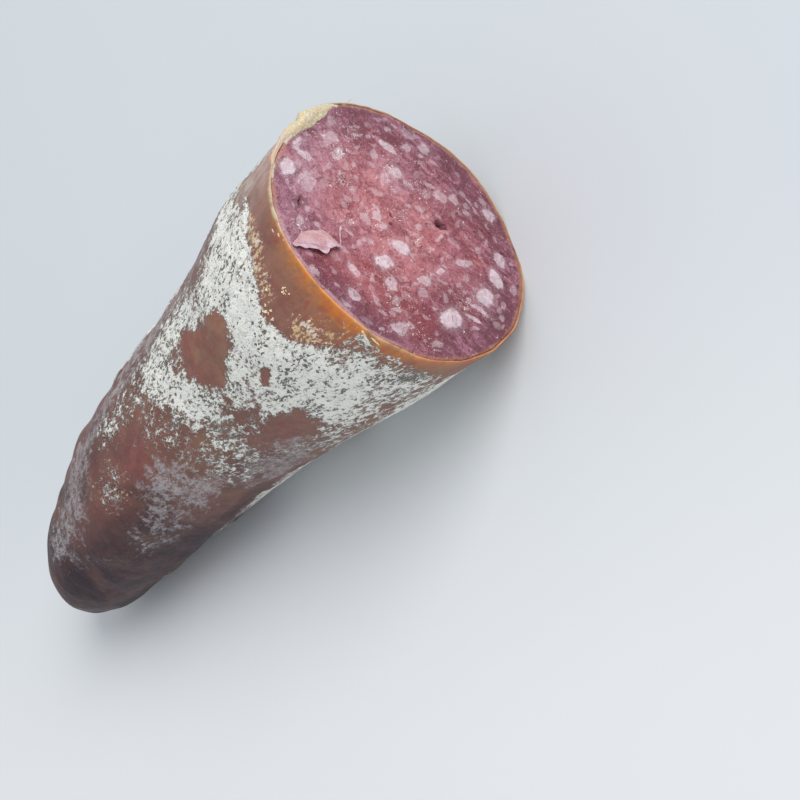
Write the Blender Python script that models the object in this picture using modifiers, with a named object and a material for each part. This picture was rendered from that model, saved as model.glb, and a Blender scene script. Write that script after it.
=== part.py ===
"""Half of a dry-cured sausage, lying on its side with the cut face turned up a little.

Two pieces: the gut casing, a thin shell closed round the tail and open at the cut, and the
meat that fills it. Metres, +Z up, +X towards the cut face. The origin is on the board, below
the middle of the bounding box.
"""
import math

import bmesh
import bpy
from mathutils import Matrix, Vector, noise

# Size of the half sausage
LENGTH = 0.140
TAPER = ((0.00, 0.0280), (0.17, 0.0264), (0.34, 0.0229), (0.51, 0.0210),
         (0.68, 0.0192), (0.85, 0.0157), (1.00, 0.0141))
TAIL_ROUND_FROM = 0.83
TAIL_SLACK = 0.25
BEND_SQUARE = -0.079
BEND_CUBE = -0.038

# The cut, set back at the top
CUT_TILT = math.radians(8.1)
CUT_HEIGHT = 0.0276
SPARE_BEYOND_CUT = 0.012

# Casing and its fit on the meat
CASING_THICKNESS = 0.0009
CASING_GAP = 0.0003
BELLY_FLAT_DEPTH = 0.015

# Bulges of the meat under the casing
BULGE_HEIGHT = 0.0007
BULGE_SPACING = 0.017
DIMPLE_HEIGHT = 0.00025
DIMPLE_SPACING = 0.006
BELLY_CALM_FROM = 0.75

# Folded casing along the rim, in degrees round the sausage from +Y towards +Z
FOLD_START = 14
FOLD_END = 74
FOLD_POINTS = 21
FOLD_RADIUS = 0.0014
FOLD_UNEVENNESS = 0.6
FOLD_LUMPS = 4.3
FOLD_INSET = 0.0007
FOLD_SETBACK = 0.0005

# Torn flap of meat on the cut face: place as (to the side, up) from the middle of the face
FLAP_PLACE = (-0.0066, 0.0194)
FLAP_SIZE = (0.0100, 0.0050, 0.0016)
FLAP_TURN = math.radians(4)
FLAP_LIFT = math.radians(7)

# Pits in the cut face: place as for the flap, then length, width and depth
PITS = (((0.0010, -0.0041), (0.0018, 0.0012, 0.0012)),
        ((0.0033, 0.0049), (0.0013, 0.0011, 0.0008)),
        ((-0.0046, 0.0138), (0.0016, 0.0012, 0.0012)),
        ((0.0018, 0.0228), (0.0044, 0.0007, 0.0012)),
        ((-0.0198, -0.0010), (0.0014, 0.0010, 0.0008)))

# Fineness
SEGMENTS = 40
BODY_RINGS = 31
TAIL_RINGS = 8
CUTTER_SIZE = 0.3

CASING_COLOUR = (0.26, 0.16, 0.12, 1)
MEAT_COLOUR = (0.42, 0.20, 0.24, 1)


def smooth_step(low, high, value):
    share = min(1.0, max(0.0, (value - low) / (high - low)))
    return share * share * (3 - 2 * share)


def taper_radius(share):
    """Radius at a share of the length: a cubic through the stations of TAPER."""
    last = len(TAPER) - 2
    index = sum(1 for station, _ in TAPER[1:-1] if share > station)
    slopes = []
    for i in (index, index + 1):
        before, after = TAPER[max(0, i - 1)], TAPER[min(last + 1, i + 1)]
        slopes.append((after[1] - before[1]) / (after[0] - before[0]))
    (start, low), (end, high) = TAPER[index], TAPER[index + 1]
    width = end - start
    t = (share - start) / width
    if t < 0:
        return low + slopes[0] * (share - start)
    bend_in, bend_out = slopes[0] * width, slopes[1] * width
    return ((2 * t**3 - 3 * t**2 + 1) * low + (t**3 - 2 * t**2 + t) * bend_in
            + (3 * t**2 - 2 * t**3) * high + (t**3 - t**2) * bend_out)


def tail_rounding(share):
    """Share of the taper's radius that is left as the tail closes."""
    t = max(0.0, (share - TAIL_ROUND_FROM) / (1 - TAIL_ROUND_FROM))
    return math.sqrt(max(0.0, 1 - t * t))


def spine_point(along):
    """Middle of the sausage at a distance from the cut; the board is at z = 0."""
    share = along / LENGTH
    full = taper_radius(share)
    radius = full * tail_rounding(share)
    ahead = max(0.0, share)
    side = LENGTH * (BEND_SQUARE * ahead**2 + BEND_CUBE * ahead**3)
    height = (1 - BELLY_FLAT_DEPTH) * full - TAIL_SLACK * (full - radius)
    return Vector((-along, side, height))


def bulge(point, angle):
    """How far the skin stands out at a point; it is calm along the belly."""
    calm = 1 - smooth_step(BELLY_CALM_FROM, 1.0, -math.sin(angle))
    height = BULGE_HEIGHT * noise.noise(point / BULGE_SPACING)
    height += DIMPLE_HEIGHT * noise.noise(point / DIMPLE_SPACING)
    return calm * height


def cut_frame():
    """Matrix of the cut face: x out of the face, y to the side, z up along it."""
    return Matrix.Translation((0, 0, CUT_HEIGHT)) @ Matrix.Rotation(-CUT_TILT, 4, "Y")


def new_collection(name, hidden=False):
    collection = bpy.data.collections.new(name)
    bpy.context.scene.collection.children.link(collection)
    collection.hide_render = hidden
    return collection


def new_object(name, mesh, collection):
    piece = bpy.data.objects.new(name, mesh)
    collection.objects.link(piece)
    return piece


def make_cutter(piece):
    piece.hide_render = True
    piece.display_type = "WIRE"
    return piece


def evaluated_mesh(piece):
    """A new mesh of the piece with its modifiers done, and doubled points joined."""
    seen = piece.evaluated_get(bpy.context.evaluated_depsgraph_get())
    mesh = bpy.data.meshes.new_from_object(seen)
    form = bmesh.new()
    form.from_mesh(mesh)
    bmesh.ops.remove_doubles(form, verts=form.verts, dist=0.00001)
    form.to_mesh(mesh)
    form.free()
    return mesh


def profile_mesh():
    """Outer profile from beyond the cut, at the top, down to the tip of the tail."""
    round_start = TAIL_ROUND_FROM * LENGTH
    step = (round_start + SPARE_BEYOND_CUT) / BODY_RINGS
    alongs = [-SPARE_BEYOND_CUT + step * i for i in range(BODY_RINGS)]
    for i in range(TAIL_RINGS + 1):
        turn = math.pi / 2 * i / TAIL_RINGS
        alongs.append(round_start + (LENGTH - round_start) * math.sin(turn))
    points = []
    for along in alongs:
        share = along / LENGTH
        points.append((taper_radius(share) * tail_rounding(share), 0, -along))
    points[-1] = (0, 0, -LENGTH)
    mesh = bpy.data.meshes.new("profile")
    mesh.from_pydata(points, [(i, i + 1) for i in range(len(points) - 1)], [])
    return mesh


def skin_mesh(collection):
    """The outer skin: the profile turned once, laid down along the bent spine, and bulged."""
    turned = new_object("turned", profile_mesh(), collection)
    screw = turned.modifiers.new("turn", "SCREW")
    screw.steps = screw.render_steps = SEGMENTS
    screw.use_merge_vertices = True
    screw.merge_threshold = 0.00001
    mesh = evaluated_mesh(turned)
    bpy.data.objects.remove(turned)
    for vertex in mesh.vertices:
        side, up, along = vertex.co.x, vertex.co.y, -vertex.co.z
        out = Vector((0, side, up))
        angle = math.atan2(up, side)
        spine = spine_point(along)
        vertex.co = spine + out
        if out.length > 0.0001:
            vertex.co += out.normalized() * bulge(spine + out, angle)
    mesh.update()
    return mesh


def shrunk_and_closed(mesh, distance):
    """A copy of the skin moved in along its normals, with its open end filled."""
    form = bmesh.new()
    form.from_mesh(mesh)
    form.normal_update()
    for vertex in form.verts:
        vertex.co -= vertex.normal * distance
    edges = [edge for edge in form.edges if edge.is_boundary]
    bmesh.ops.holes_fill(form, edges=edges)
    bmesh.ops.recalc_face_normals(form, faces=form.faces)
    inner = bpy.data.meshes.new("filling")
    form.to_mesh(inner)
    form.free()
    return inner


def box_cutter(name, place, collection):
    """A large box that removes all that lies at +X in the frame of its place."""
    mesh = bpy.data.meshes.new(name)
    form = bmesh.new()
    bmesh.ops.create_cube(form, size=CUTTER_SIZE)
    form.to_mesh(mesh)
    form.free()
    box = make_cutter(new_object(name, mesh, collection))
    box.matrix_world = place @ Matrix.Translation((CUTTER_SIZE / 2, 0, 0))
    return box


def lens(name, place, size, collection):
    """A squashed ball on the cut face: length along the face, then width and height."""
    mesh = bpy.data.meshes.new(name)
    form = bmesh.new()
    bmesh.ops.create_icosphere(form, subdivisions=2, radius=0.5)
    form.to_mesh(mesh)
    form.free()
    ball = make_cutter(new_object(name, mesh, collection))
    ball.matrix_world = place @ Matrix.Diagonal((size[2], size[1], size[0], 1))
    return ball


def on_face(place, turn=0.0, lift=0.0):
    """Place on the cut face, turned in the face and with its lower edge lifted out of it."""
    return (cut_frame() @ Matrix.Translation((0, place[0], place[1]))
            @ Matrix.Rotation(turn, 4, "X") @ Matrix.Rotation(lift, 4, "Z"))


def fold_ridge(name, extra, collection):
    """Lumpy ridge of folded casing along the rim; extra is added to its thickness."""
    curve = bpy.data.curves.new(name, "CURVE")
    curve.dimensions = "3D"
    curve.bevel_depth = 1.0
    curve.bevel_resolution = 2
    curve.use_fill_caps = True
    spline = curve.splines.new("POLY")
    spline.points.add(FOLD_POINTS - 1)
    for i, point in enumerate(spline.points):
        share = i / (FOLD_POINTS - 1)
        angle = math.radians(FOLD_START + (FOLD_END - FOLD_START) * share)
        reach = taper_radius(0) - FOLD_INSET
        place = cut_frame() @ Vector((-FOLD_SETBACK, reach * math.cos(angle), reach * math.sin(angle)))
        swell = math.sqrt(math.sin(math.pi * min(0.97, max(0.03, share))))
        lump = 1 + FOLD_UNEVENNESS * noise.noise(Vector((FOLD_LUMPS * share, 0.5, 0.5)))
        point.co = (*place, 1)
        point.radius = FOLD_RADIUS * lump * swell + extra
    tube = new_object(name + "_tube", curve, collection)
    ridge = make_cutter(new_object(name, evaluated_mesh(tube), collection))
    bpy.data.objects.remove(tube)
    return ridge


def boolean(piece, operation, other, solver="EXACT"):
    modifier = piece.modifiers.new(other.name, "BOOLEAN")
    modifier.operation = operation
    modifier.object = other
    modifier.solver = solver


def make_material(name, colour, roughness):
    material = bpy.data.materials.new(name)
    material.use_nodes = True
    shader = material.node_tree.nodes["Principled BSDF"]
    shader.inputs["Base Color"].default_value = colour
    shader.inputs["Roughness"].default_value = roughness
    shader.inputs["Metallic"].default_value = 0
    return material


def smooth_shading(mesh):
    mesh.shade_smooth()
    mesh.set_sharp_from_angle(angle=math.radians(35))


def make_casing(skin, parts, knife, board, fold):
    casing = new_object("casing", skin, parts)
    casing.data.name = "casing"
    casing.data.materials.append(make_material("casing", CASING_COLOUR, 0.7))
    smooth_shading(casing.data)
    wall = casing.modifiers.new("wall", "SOLIDIFY")
    wall.thickness = CASING_THICKNESS
    wall.offset = -1
    wall.use_even_offset = True
    boolean(casing, "DIFFERENCE", knife)
    boolean(casing, "UNION", fold, "MANIFOLD")
    boolean(casing, "DIFFERENCE", board)
    return casing


def make_meat(filling, parts, cutters, knife, fold_room):
    meat = new_object("meat", filling, parts)
    meat.data.materials.append(make_material("meat", MEAT_COLOUR, 0.45))
    smooth_shading(meat.data)
    boolean(meat, "DIFFERENCE", knife)
    boolean(meat, "DIFFERENCE", fold_room, "MANIFOLD")
    for number, (place, size) in enumerate(PITS):
        boolean(meat, "DIFFERENCE", lens(f"pit_{number}", on_face(place), size, cutters))
    flap_place = on_face(FLAP_PLACE, FLAP_TURN, FLAP_LIFT)
    boolean(meat, "UNION", lens("flap", flap_place, FLAP_SIZE, cutters))
    return meat


def centre_on_origin(pieces, everything):
    """Hang everything on an empty that puts the middle of the pieces over the origin."""
    bpy.context.view_layer.update()
    graph = bpy.context.evaluated_depsgraph_get()
    corners = []
    for piece in pieces:
        seen = piece.evaluated_get(graph)
        corners += [seen.matrix_world @ Vector(corner) for corner in seen.bound_box]
    middle = [(min(c[i] for c in corners) + max(c[i] for c in corners)) / 2 for i in range(2)]
    anchor = bpy.data.objects.new("sausage_place", None)
    pieces[0].users_collection[0].objects.link(anchor)
    for piece in everything:
        piece.parent = anchor
    anchor.location = (-middle[0], -middle[1], 0)


def main():
    for old in list(bpy.data.objects):
        bpy.data.objects.remove(old)
    parts = new_collection("cured_sausage")
    cutters = new_collection("cutters", hidden=True)

    skin = skin_mesh(parts)
    filling = shrunk_and_closed(skin, CASING_THICKNESS + CASING_GAP)
    knife = box_cutter("knife", cut_frame(), cutters)
    board = box_cutter("board", Matrix.Rotation(math.pi / 2, 4, "Y"), cutters)
    fold = fold_ridge("fold", 0, cutters)
    fold_room = fold_ridge("fold_room", CASING_GAP, cutters)

    casing = make_casing(skin, parts, knife, board, fold)
    meat = make_meat(filling, parts, cutters, knife, fold_room)
    centre_on_origin([casing, meat], list(parts.objects) + list(cutters.objects))


main()
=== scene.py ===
"""Half of a dry-cured sausage, lying on its side with the cut face turned up a little.

The gut casing is brown and waxy, amber where it was cut, with a painted glow of light through the amber,
and carries a white bloom; painted shade darkens its tail and underside. The meat shows its marbling
at the cut, with a torn flap, a few pits and painted glints. Metres, +Z up, +X to the cut.
"""
import math
import random
from collections import namedtuple

import bpy
import numpy as np
from bpy.props import FloatProperty, FloatVectorProperty, IntProperty, PointerProperty
from mathutils import Matrix, Vector, noise


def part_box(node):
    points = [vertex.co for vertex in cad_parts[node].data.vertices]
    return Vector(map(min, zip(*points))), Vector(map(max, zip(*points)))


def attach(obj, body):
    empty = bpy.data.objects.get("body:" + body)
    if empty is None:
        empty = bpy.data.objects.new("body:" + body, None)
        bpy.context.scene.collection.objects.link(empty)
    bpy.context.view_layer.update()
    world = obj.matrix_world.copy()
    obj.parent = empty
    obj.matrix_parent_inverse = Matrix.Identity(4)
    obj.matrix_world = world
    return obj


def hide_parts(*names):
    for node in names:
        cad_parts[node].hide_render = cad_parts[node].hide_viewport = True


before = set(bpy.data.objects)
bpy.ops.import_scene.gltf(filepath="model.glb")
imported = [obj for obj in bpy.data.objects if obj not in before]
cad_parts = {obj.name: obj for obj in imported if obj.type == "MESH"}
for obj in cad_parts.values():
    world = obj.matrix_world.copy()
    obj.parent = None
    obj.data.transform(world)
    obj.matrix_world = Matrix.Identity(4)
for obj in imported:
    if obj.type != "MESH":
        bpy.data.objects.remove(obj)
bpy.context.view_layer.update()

bl_info = {
    "name": "Cured Sausage Half",
    "version": (1, 0, 0),
    "blender": (4, 5, 0),
    "location": "3D Viewport > Sidebar > Sausage",
    "description": "Half of a dry-cured sausage with a bloom on its casing and marbled meat",
    "category": "Add Mesh",
}

BODY = "root"
MM = 0.001

# The cut, and where the parts of the frame lie
CUT_TILT = math.radians(8.1)
CUT_HEIGHT = 0.0276
CUT_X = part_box("casing")[1].x - CUT_HEIGHT * math.tan(CUT_TILT)
CUT_MIDDLE = Vector((CUT_X, 0, CUT_HEIGHT))
CUT_NORMAL = Vector((math.cos(CUT_TILT), 0, math.sin(CUT_TILT)))
CUT_SIDE = Vector((0, 1, 0))
CUT_UP = CUT_NORMAL.cross(CUT_SIDE)
TILT_REACH = 0.022
STATIONS = (0.0, 0.17, 0.34, 0.51, 0.68, 0.85, 1.0)
TAIL_ROUND_FROM = 0.83
TAIL_SLACK = 0.25
BELLY_SINK = 0.015
SPINE_SAMPLES = 141
RING_CROWDING = 1.25
TIP_RING_SHARE = 0.3
LEAST_MOVE = 1e-9

# The rim: how far it waves in and out, and along the sausage, and how far back it swells
RIM_WAVE = 0.0003
RIM_SET = 0.0006
RIM_SET_REACH = 0.006
RIM_SWELL_REACH = 0.012

# Swells of the rim: angle, half width (degrees), height (mm)
RIM_SWELLS = ((92, 17, 0.9), (130, 14, -0.6), (157, 12, 0.35), (47, 14, -0.45))

Ring = namedtuple("Ring", "middle radius tilt")


def paint(red, green, blue):
    """A colour given as it looks on a screen, 0 to 255, turned into Blender's linear values."""
    shares = (value / 255 for value in (red, green, blue))
    return tuple(s / 12.92 if s <= 0.04045 else ((s + 0.055) / 1.055) ** 2.4 for s in shares)


def colour_setting(name, description, colour):
    return FloatVectorProperty(name=name, description=description, default=paint(*colour),
                               subtype="COLOR", size=3, min=0, max=1)


def length_setting(name, description, size):
    return FloatProperty(name=name, description=description, default=size, unit="LENGTH", min=0)


class SausageSizes(bpy.types.PropertyGroup):
    """Sizes of the half sausage"""
    length: length_setting("Length", "From the middle of the cut to the tip of the tail", 0.140)
    radii: FloatVectorProperty(name="Radii", description="Radius at seven stations from the cut to the tail",
                               default=(0.0280, 0.0264, 0.0229, 0.0210, 0.0192, 0.0157, 0.0141),
                               size=7, unit="LENGTH", min=0)
    bend_square: FloatProperty(name="Bend", default=-0.079,
                               description="Sideways bend, growing with the square of the length")
    bend_cube: FloatProperty(name="Tail bend", default=-0.038,
                             description="Sideways bend, growing with the cube of the length")
    casing_wall: length_setting("Casing", "Thickness of the casing", 0.0009)
    casing_gap: length_setting("Gap", "Room between the casing and the meat", 0.0003)
    rim_wall: length_setting("Rim", "Thickness of the casing at the cut", 0.0005)
    bulge_height: length_setting("Bulge height", "How far the meat bulges the skin", 0.0008)
    bulge_spacing: length_setting("Bulge spacing", "Distance between bulges", 0.017)
    dimple_height: length_setting("Dimple height", "Height of the small dimples on the tail", 0.0005)
    dimple_spacing: length_setting("Dimple spacing", "Distance between dimples", 0.006)
    bloom_thickness: length_setting("Bloom thickness", "Thickness of the white bloom", 0.00012)
    grain_length: length_setting("Grain length", "Half the length of a usual grain of fat", 0.0014)
    grain_count: IntProperty(name="Grains", description="Number of small grains of fat on the cut face",
                             default=170, min=0)
    crumb_count: IntProperty(name="Crumbs", description="Number of dry crumbs along the bloom's edge",
                             default=110, min=0)


class SausageColours(bpy.types.PropertyGroup):
    """Colours of the casing, the bloom and the meat"""
    brown: colour_setting("Casing", "Bare casing over lean meat", (156, 108, 94))
    ochre: colour_setting("Casing over fat", "Bare casing where fat lies under it", (166, 124, 97))
    red: colour_setting("Red casing", "Bare casing over red meat", (168, 94, 86))
    # Amber and ember: the casing's own colour at the cut, brightened as a painted glow of light through it
    amber: colour_setting("Amber", "Cut edge of the casing, lit through", (238, 148, 64))
    ember: colour_setting("Ember", "Deeper orange behind the cut edge", (192, 92, 50))
    tan: colour_setting("Tan", "Pale casing near the folded rim", (212, 186, 174))
    haze: colour_setting("Haze", "Thin grey film on the casing", (189, 183, 185))
    # The dark tail colour, also used as painted shade on the lower tail and the belly
    shade: colour_setting("Tail", "Dark dry tail", (41, 31, 42))
    pit: colour_setting("Pits", "Gaps in the bloom", (80, 77, 68))
    bloom: colour_setting("Bloom", "Thick white bloom", (255, 253, 243))
    crumb: colour_setting("Crumbs", "Dry golden crumbs", (238, 208, 156))
    cream: colour_setting("Fold", "Folded casing and fat at the rim", (206, 191, 156))
    lean_mauve: colour_setting("Lean mauve", "Dried lean meat near the rim", (112, 50, 66))
    lean_red: colour_setting("Lean red", "Lean meat in the middle", (144, 58, 66))
    mauve: colour_setting("Mauve", "Mixed meat near the rim", (181, 120, 139))
    salmon: colour_setting("Salmon", "Mixed meat in the middle", (205, 130, 135))
    # Lean meat colour used as painted shade in the seams, the pits and the pinholes
    lean_shade: colour_setting("Lean dark", "Shadowed seams between lumps", (88, 30, 44))
    fat: colour_setting("Fat", "Grains of hard fat", (232, 212, 218))
    floor: colour_setting("Floor", "Pale floor", (240, 241, 242))
    # The far floor colour is painted shade: the floor darkens away from the camera
    far_floor_shade: colour_setting("Far floor", "The floor beyond the sausage", (222, 227, 230))
    sky: colour_setting("Sky", "Soft light from all round", (226, 231, 237))


# Sockets and nodes

NOISE_MIDDLE = (0.5, 0.5, 0.5)


class Value:
    """A number carried by a shader socket; each operation on it adds a Math node."""

    def __init__(self, recipe, socket):
        self.recipe = recipe
        self.socket = socket

    def maths(self, operation, *others, clamp=False):
        settings = {"operation": operation, "use_clamp": clamp}
        sockets = dict(enumerate((self, *others)))
        return self.recipe.value("ShaderNodeMath", settings, sockets)

    def __add__(self, other):
        return self.maths("ADD", other)

    __radd__ = __add__

    def __sub__(self, other):
        return self.maths("SUBTRACT", other)

    def __rsub__(self, other):
        return self.recipe.value("ShaderNodeMath", {"operation": "SUBTRACT"}, {0: other, 1: self})

    def __mul__(self, other):
        return self.maths("MULTIPLY", other)

    __rmul__ = __mul__

    def __abs__(self):
        return self.maths("ABSOLUTE")

    def clipped(self):
        return self.maths("ADD", 0.0, clamp=True)

    def most(self, other):
        return self.maths("MAXIMUM", other)

    def least(self, other):
        return self.maths("MINIMUM", other)

    def rise(self, low, high):
        """0 below low and 1 above high, eased between them."""
        settings = {"interpolation_type": "SMOOTHSTEP"}
        sockets = {"Value": self, "From Min": low, "From Max": high}
        return self.recipe.value("ShaderNodeMapRange", settings, sockets)


class Recipe:
    """The node tree of one material."""

    def __init__(self, name):
        self.material = bpy.data.materials.new(name)
        self.material.use_nodes = True
        self.tree = self.material.node_tree
        self.tree.nodes.clear()
        self.place = self.node("ShaderNodeTexCoord").outputs["Object"]

    def node(self, kind, settings=None, sockets=None):
        """A node with its settings made first, then its sockets given values or links."""
        made = self.tree.nodes.new(kind)
        for name, setting in (settings or {}).items():
            setattr(made, name, setting)
        for key, given in (sockets or {}).items():
            target = self.socket_of(made, key)
            given = given.socket if isinstance(given, Value) else given
            if isinstance(given, bpy.types.NodeSocket):
                self.tree.links.new(given, target)
            elif target.type == "RGBA" and len(given) == 3:
                target.default_value = (*given, 1)
            else:
                target.default_value = given
        return made

    @staticmethod
    def socket_of(made, key):
        if isinstance(key, int):
            return made.inputs[key]
        for socket in made.inputs:
            if socket.enabled and key in (socket.identifier, socket.name):
                return socket
        raise KeyError(f"{made.bl_idname} has no socket {key}")

    def value(self, kind, settings=None, sockets=None, output=0):
        return Value(self, self.node(kind, settings, sockets).outputs[output])

    def attribute(self, name):
        return self.value("ShaderNodeAttribute", {"attribute_name": name}, output="Fac")

    def mix(self, share, first, second):
        """A colour between two, which are colours or sockets."""
        sockets = {"Factor_Float": share, "A_Color": first, "B_Color": second}
        made = self.node("ShaderNodeMix", {"data_type": "RGBA"}, sockets)
        return next(s for s in made.outputs if s.identifier == "Result_Color")

    def vector(self, operation, first, second):
        """Maths on two vectors, which are given or come from sockets."""
        sockets = {0: first, 1: second}
        return self.node("ShaderNodeVectorMath", {"operation": operation}, sockets).outputs[0]

    def scaled(self, scale):
        """The place on the piece, stretched by three factors."""
        return self.vector("MULTIPLY", self.place, scale)

    def shifted(self, where, amount, size):
        """The place moved about by a coloured noise, so that edges turn ragged."""
        cloud = self.node("ShaderNodeTexNoise", None, {"Vector": where, "Scale": 1 / size, "Detail": 2.0})
        centred = self.vector("SUBTRACT", cloud.outputs["Color"], NOISE_MIDDLE)
        pushed = self.node("ShaderNodeVectorMath", {"operation": "SCALE"},
                           {0: centred, "Scale": amount}).outputs[0]
        return self.vector("ADD", where, pushed)

    def cloud(self, size, detail=2.0, roughness=0.5, where=None, distortion=0.0):
        """Noise about 0.5, with lumps of a size in metres."""
        sockets = {"Vector": where or self.place, "Scale": 1 / size, "Detail": detail,
                   "Roughness": roughness, "Distortion": distortion}
        return self.value("ShaderNodeTexNoise", None, sockets)

    def turned_place(self, degrees, stretch):
        """The place turned round the X axis and drawn out along the turned Y."""
        return self.node("ShaderNodeMapping", {"vector_type": "TEXTURE"},
                         {"Vector": self.place, "Rotation": (math.radians(degrees), 0, 0),
                          "Scale": (1, stretch, 1)}).outputs[0]

    def cells(self, size, where=None):
        """Distance from the middle of the nearest cell, in cell sizes."""
        sockets = {"Vector": where or self.place, "Scale": 1 / size}
        return self.value("ShaderNodeTexVoronoi", None, sockets)

    def cell_share(self, size, where=None, smoothness=0.0):
        """One random number from 0 to 1 for each cell, with soft borders if it is smoothed."""
        sockets = {"Vector": where or self.place, "Scale": 1 / size}
        if smoothness:
            sockets["Smoothness"] = smoothness
        feature = "SMOOTH_F1" if smoothness else "F1"
        cell = self.node("ShaderNodeTexVoronoi", {"feature": feature}, sockets)
        return self.value("ShaderNodeSeparateColor", None, {"Color": cell.outputs["Color"]})

    def bump(self, height):
        """Normal of a surface raised by a height in metres."""
        sockets = {"Strength": 1.0, "Distance": 1.0, "Height": height}
        return self.node("ShaderNodeBump", None, sockets).outputs[0]

    def finish(self, varying, fixed):
        """The material, with sockets that change over the surface and sockets that don't."""
        shader = self.node("ShaderNodeBsdfPrincipled", None, {**fixed, **varying})
        self.node("ShaderNodeOutputMaterial", None, {"Surface": shader.outputs[0]})
        return self.material


def lit_through(weight, spread, scale):
    """Sockets for light that spreads a little way under the surface."""
    return {"Subsurface Weight": weight, "Subsurface Radius": spread, "Subsurface Scale": scale}


# Form of the sausage

def sizes():
    return bpy.context.scene.sausage_sizes


def colours():
    return bpy.context.scene.sausage_colours


def smooth_step(low, high, value):
    share = np.clip((value - low) / (high - low), 0.0, 1.0)
    return share * share * (3 - 2 * share)


def taper_radius(share):
    """Radius at a share of the length: a cubic through the stations."""
    radii = sizes().radii
    index = sum(1 for station in STATIONS[1:-1] if share > station)
    slopes = []
    for i in (index, index + 1):
        before, after = max(0, i - 1), min(len(STATIONS) - 1, i + 1)
        slopes.append((radii[after] - radii[before]) / (STATIONS[after] - STATIONS[before]))
    low, high = radii[index], radii[index + 1]
    width = STATIONS[index + 1] - STATIONS[index]
    t = (share - STATIONS[index]) / width
    bend_in, bend_out = slopes[0] * width, slopes[1] * width
    return ((2 * t**3 - 3 * t**2 + 1) * low + (t**3 - 2 * t**2 + t) * bend_in
            + (3 * t**2 - 2 * t**3) * high + (t**3 - t**2) * bend_out)


def tail_rounding(share):
    """Share of the taper's radius that is left as the tail closes."""
    t = min(1.0, max(0.0, (share - TAIL_ROUND_FROM) / (1 - TAIL_ROUND_FROM)))
    return math.sqrt(1 - t * t)


def spine_point(along):
    """Middle of the sausage at a distance from the cut."""
    size = sizes()
    share = along / size.length
    full = taper_radius(share)
    radius = full * tail_rounding(share)
    side = size.length * (size.bend_square * share**2 + size.bend_cube * share**3)
    return Vector((CUT_X - along, side, (1 - BELLY_SINK) * full - TAIL_SLACK * (full - radius)))


def skin_radius(along):
    share = along / sizes().length
    return taper_radius(share) * tail_rounding(share)


def skin_point(along, degrees, lift=0.0):
    """A point on the skin, or lift outside it, at an angle from +Y towards +Z."""
    turn = math.radians(degrees)
    reach = skin_radius(along) + lift
    return spine_point(along) + Vector((0, math.cos(turn), math.sin(turn))) * reach


def face_point(side, up, lift=0.0):
    """A point on the cut face, by its distances from the middle, or lift in front of it."""
    return CUT_MIDDLE + CUT_SIDE * side + CUT_UP * up + CUT_NORMAL * lift


def tilt_at(along):
    return CUT_TILT * (1 - smooth_step(0, TILT_REACH, along))


def rings_to_cut(inset, tail_rings, body_rings):
    """Rings from the tip of the tail to the cut, a distance inside the skin."""
    length = sizes().length
    round_from = TAIL_ROUND_FROM * length
    rings = []
    for i in range(tail_rings):
        turn = math.pi / 2 * (1 - (i + TIP_RING_SHARE) / tail_rings)
        along = round_from + (length - inset - round_from) * math.sin(turn)
        radius = (taper_radius(along / length) - inset) * math.cos(turn)
        rings.append(Ring(spine_point(along), radius, 0.0))
    for i in range(body_rings):
        along = round_from * (1 - i / (body_rings - 1)) ** RING_CROWDING
        rings.append(Ring(spine_point(along), skin_radius(along) - inset, tilt_at(along)))
    return rings


# Modelling

def apply_place():
    """Puts the active piece's place, turn and size into its mesh."""
    bpy.ops.object.transform_apply(location=True, rotation=True, scale=True)


def deselect_all():
    if bpy.context.object and bpy.context.object.mode != "OBJECT":
        bpy.ops.object.mode_set(mode="OBJECT")
    bpy.ops.object.select_all(action="DESELECT")


def pick(piece, *others):
    deselect_all()
    for each in (piece, *others):
        each.select_set(True)
    bpy.context.view_layer.objects.active = piece


def apply_modifier(piece, kind, **settings):
    """Adds a modifier, sets it and applies it."""
    pick(piece)
    modifier = piece.modifiers.new(kind.lower(), kind)
    for name, setting in settings.items():
        setattr(modifier, name, setting)
    bpy.ops.object.modifier_apply(modifier=modifier.name)


def subdivide(piece, levels):
    apply_modifier(piece, "SUBSURF", levels=levels, render_levels=levels)


def start_rings(name, ring, segments):
    """A small disc across the sausage, left in edit mode with its rim selected."""
    deselect_all()
    bpy.ops.mesh.primitive_circle_add(vertices=segments, radius=ring.radius, fill_type="TRIFAN",
                                      location=ring.middle, rotation=(0, math.pi / 2, 0))
    piece = bpy.context.object
    piece.name = piece.data.name = name
    apply_place()
    bpy.ops.object.mode_set(mode="EDIT")
    bpy.ops.mesh.select_mode(type="EDGE")
    bpy.ops.mesh.select_all(action="SELECT")
    bpy.ops.mesh.region_to_loop()
    return piece


def extrude_ring(last, ring):
    """Extrudes the selected ring to the next one, and turns it towards the cut's tilt."""
    bpy.ops.mesh.extrude_edges_move(TRANSFORM_OT_translate={"value": ring.middle - last.middle})
    grow = ring.radius / last.radius
    stretch = grow * math.cos(last.tilt) / math.cos(ring.tilt)
    bpy.ops.transform.resize(value=(stretch, grow, stretch), center_override=ring.middle)
    if ring.tilt != last.tilt:
        bpy.ops.transform.rotate(value=ring.tilt - last.tilt, orient_axis="Y",
                                 center_override=ring.middle)


def ring_form(name, rings, segments):
    """A closed form through the rings, with a pole at each end."""
    piece = start_rings(name, rings[0], segments)
    for last, ring in zip(rings, rings[1:]):
        extrude_ring(last, ring)
    bpy.ops.mesh.merge(type="CENTER")
    bpy.ops.mesh.select_all(action="SELECT")
    bpy.ops.mesh.normals_make_consistent(inside=False)
    bpy.ops.object.mode_set(mode="OBJECT")
    return piece


def points_of(piece):
    flat = np.empty(len(piece.data.vertices) * 3, np.float32)
    piece.data.vertices.foreach_get("co", flat)
    return flat.reshape(-1, 3).astype(float)


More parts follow.
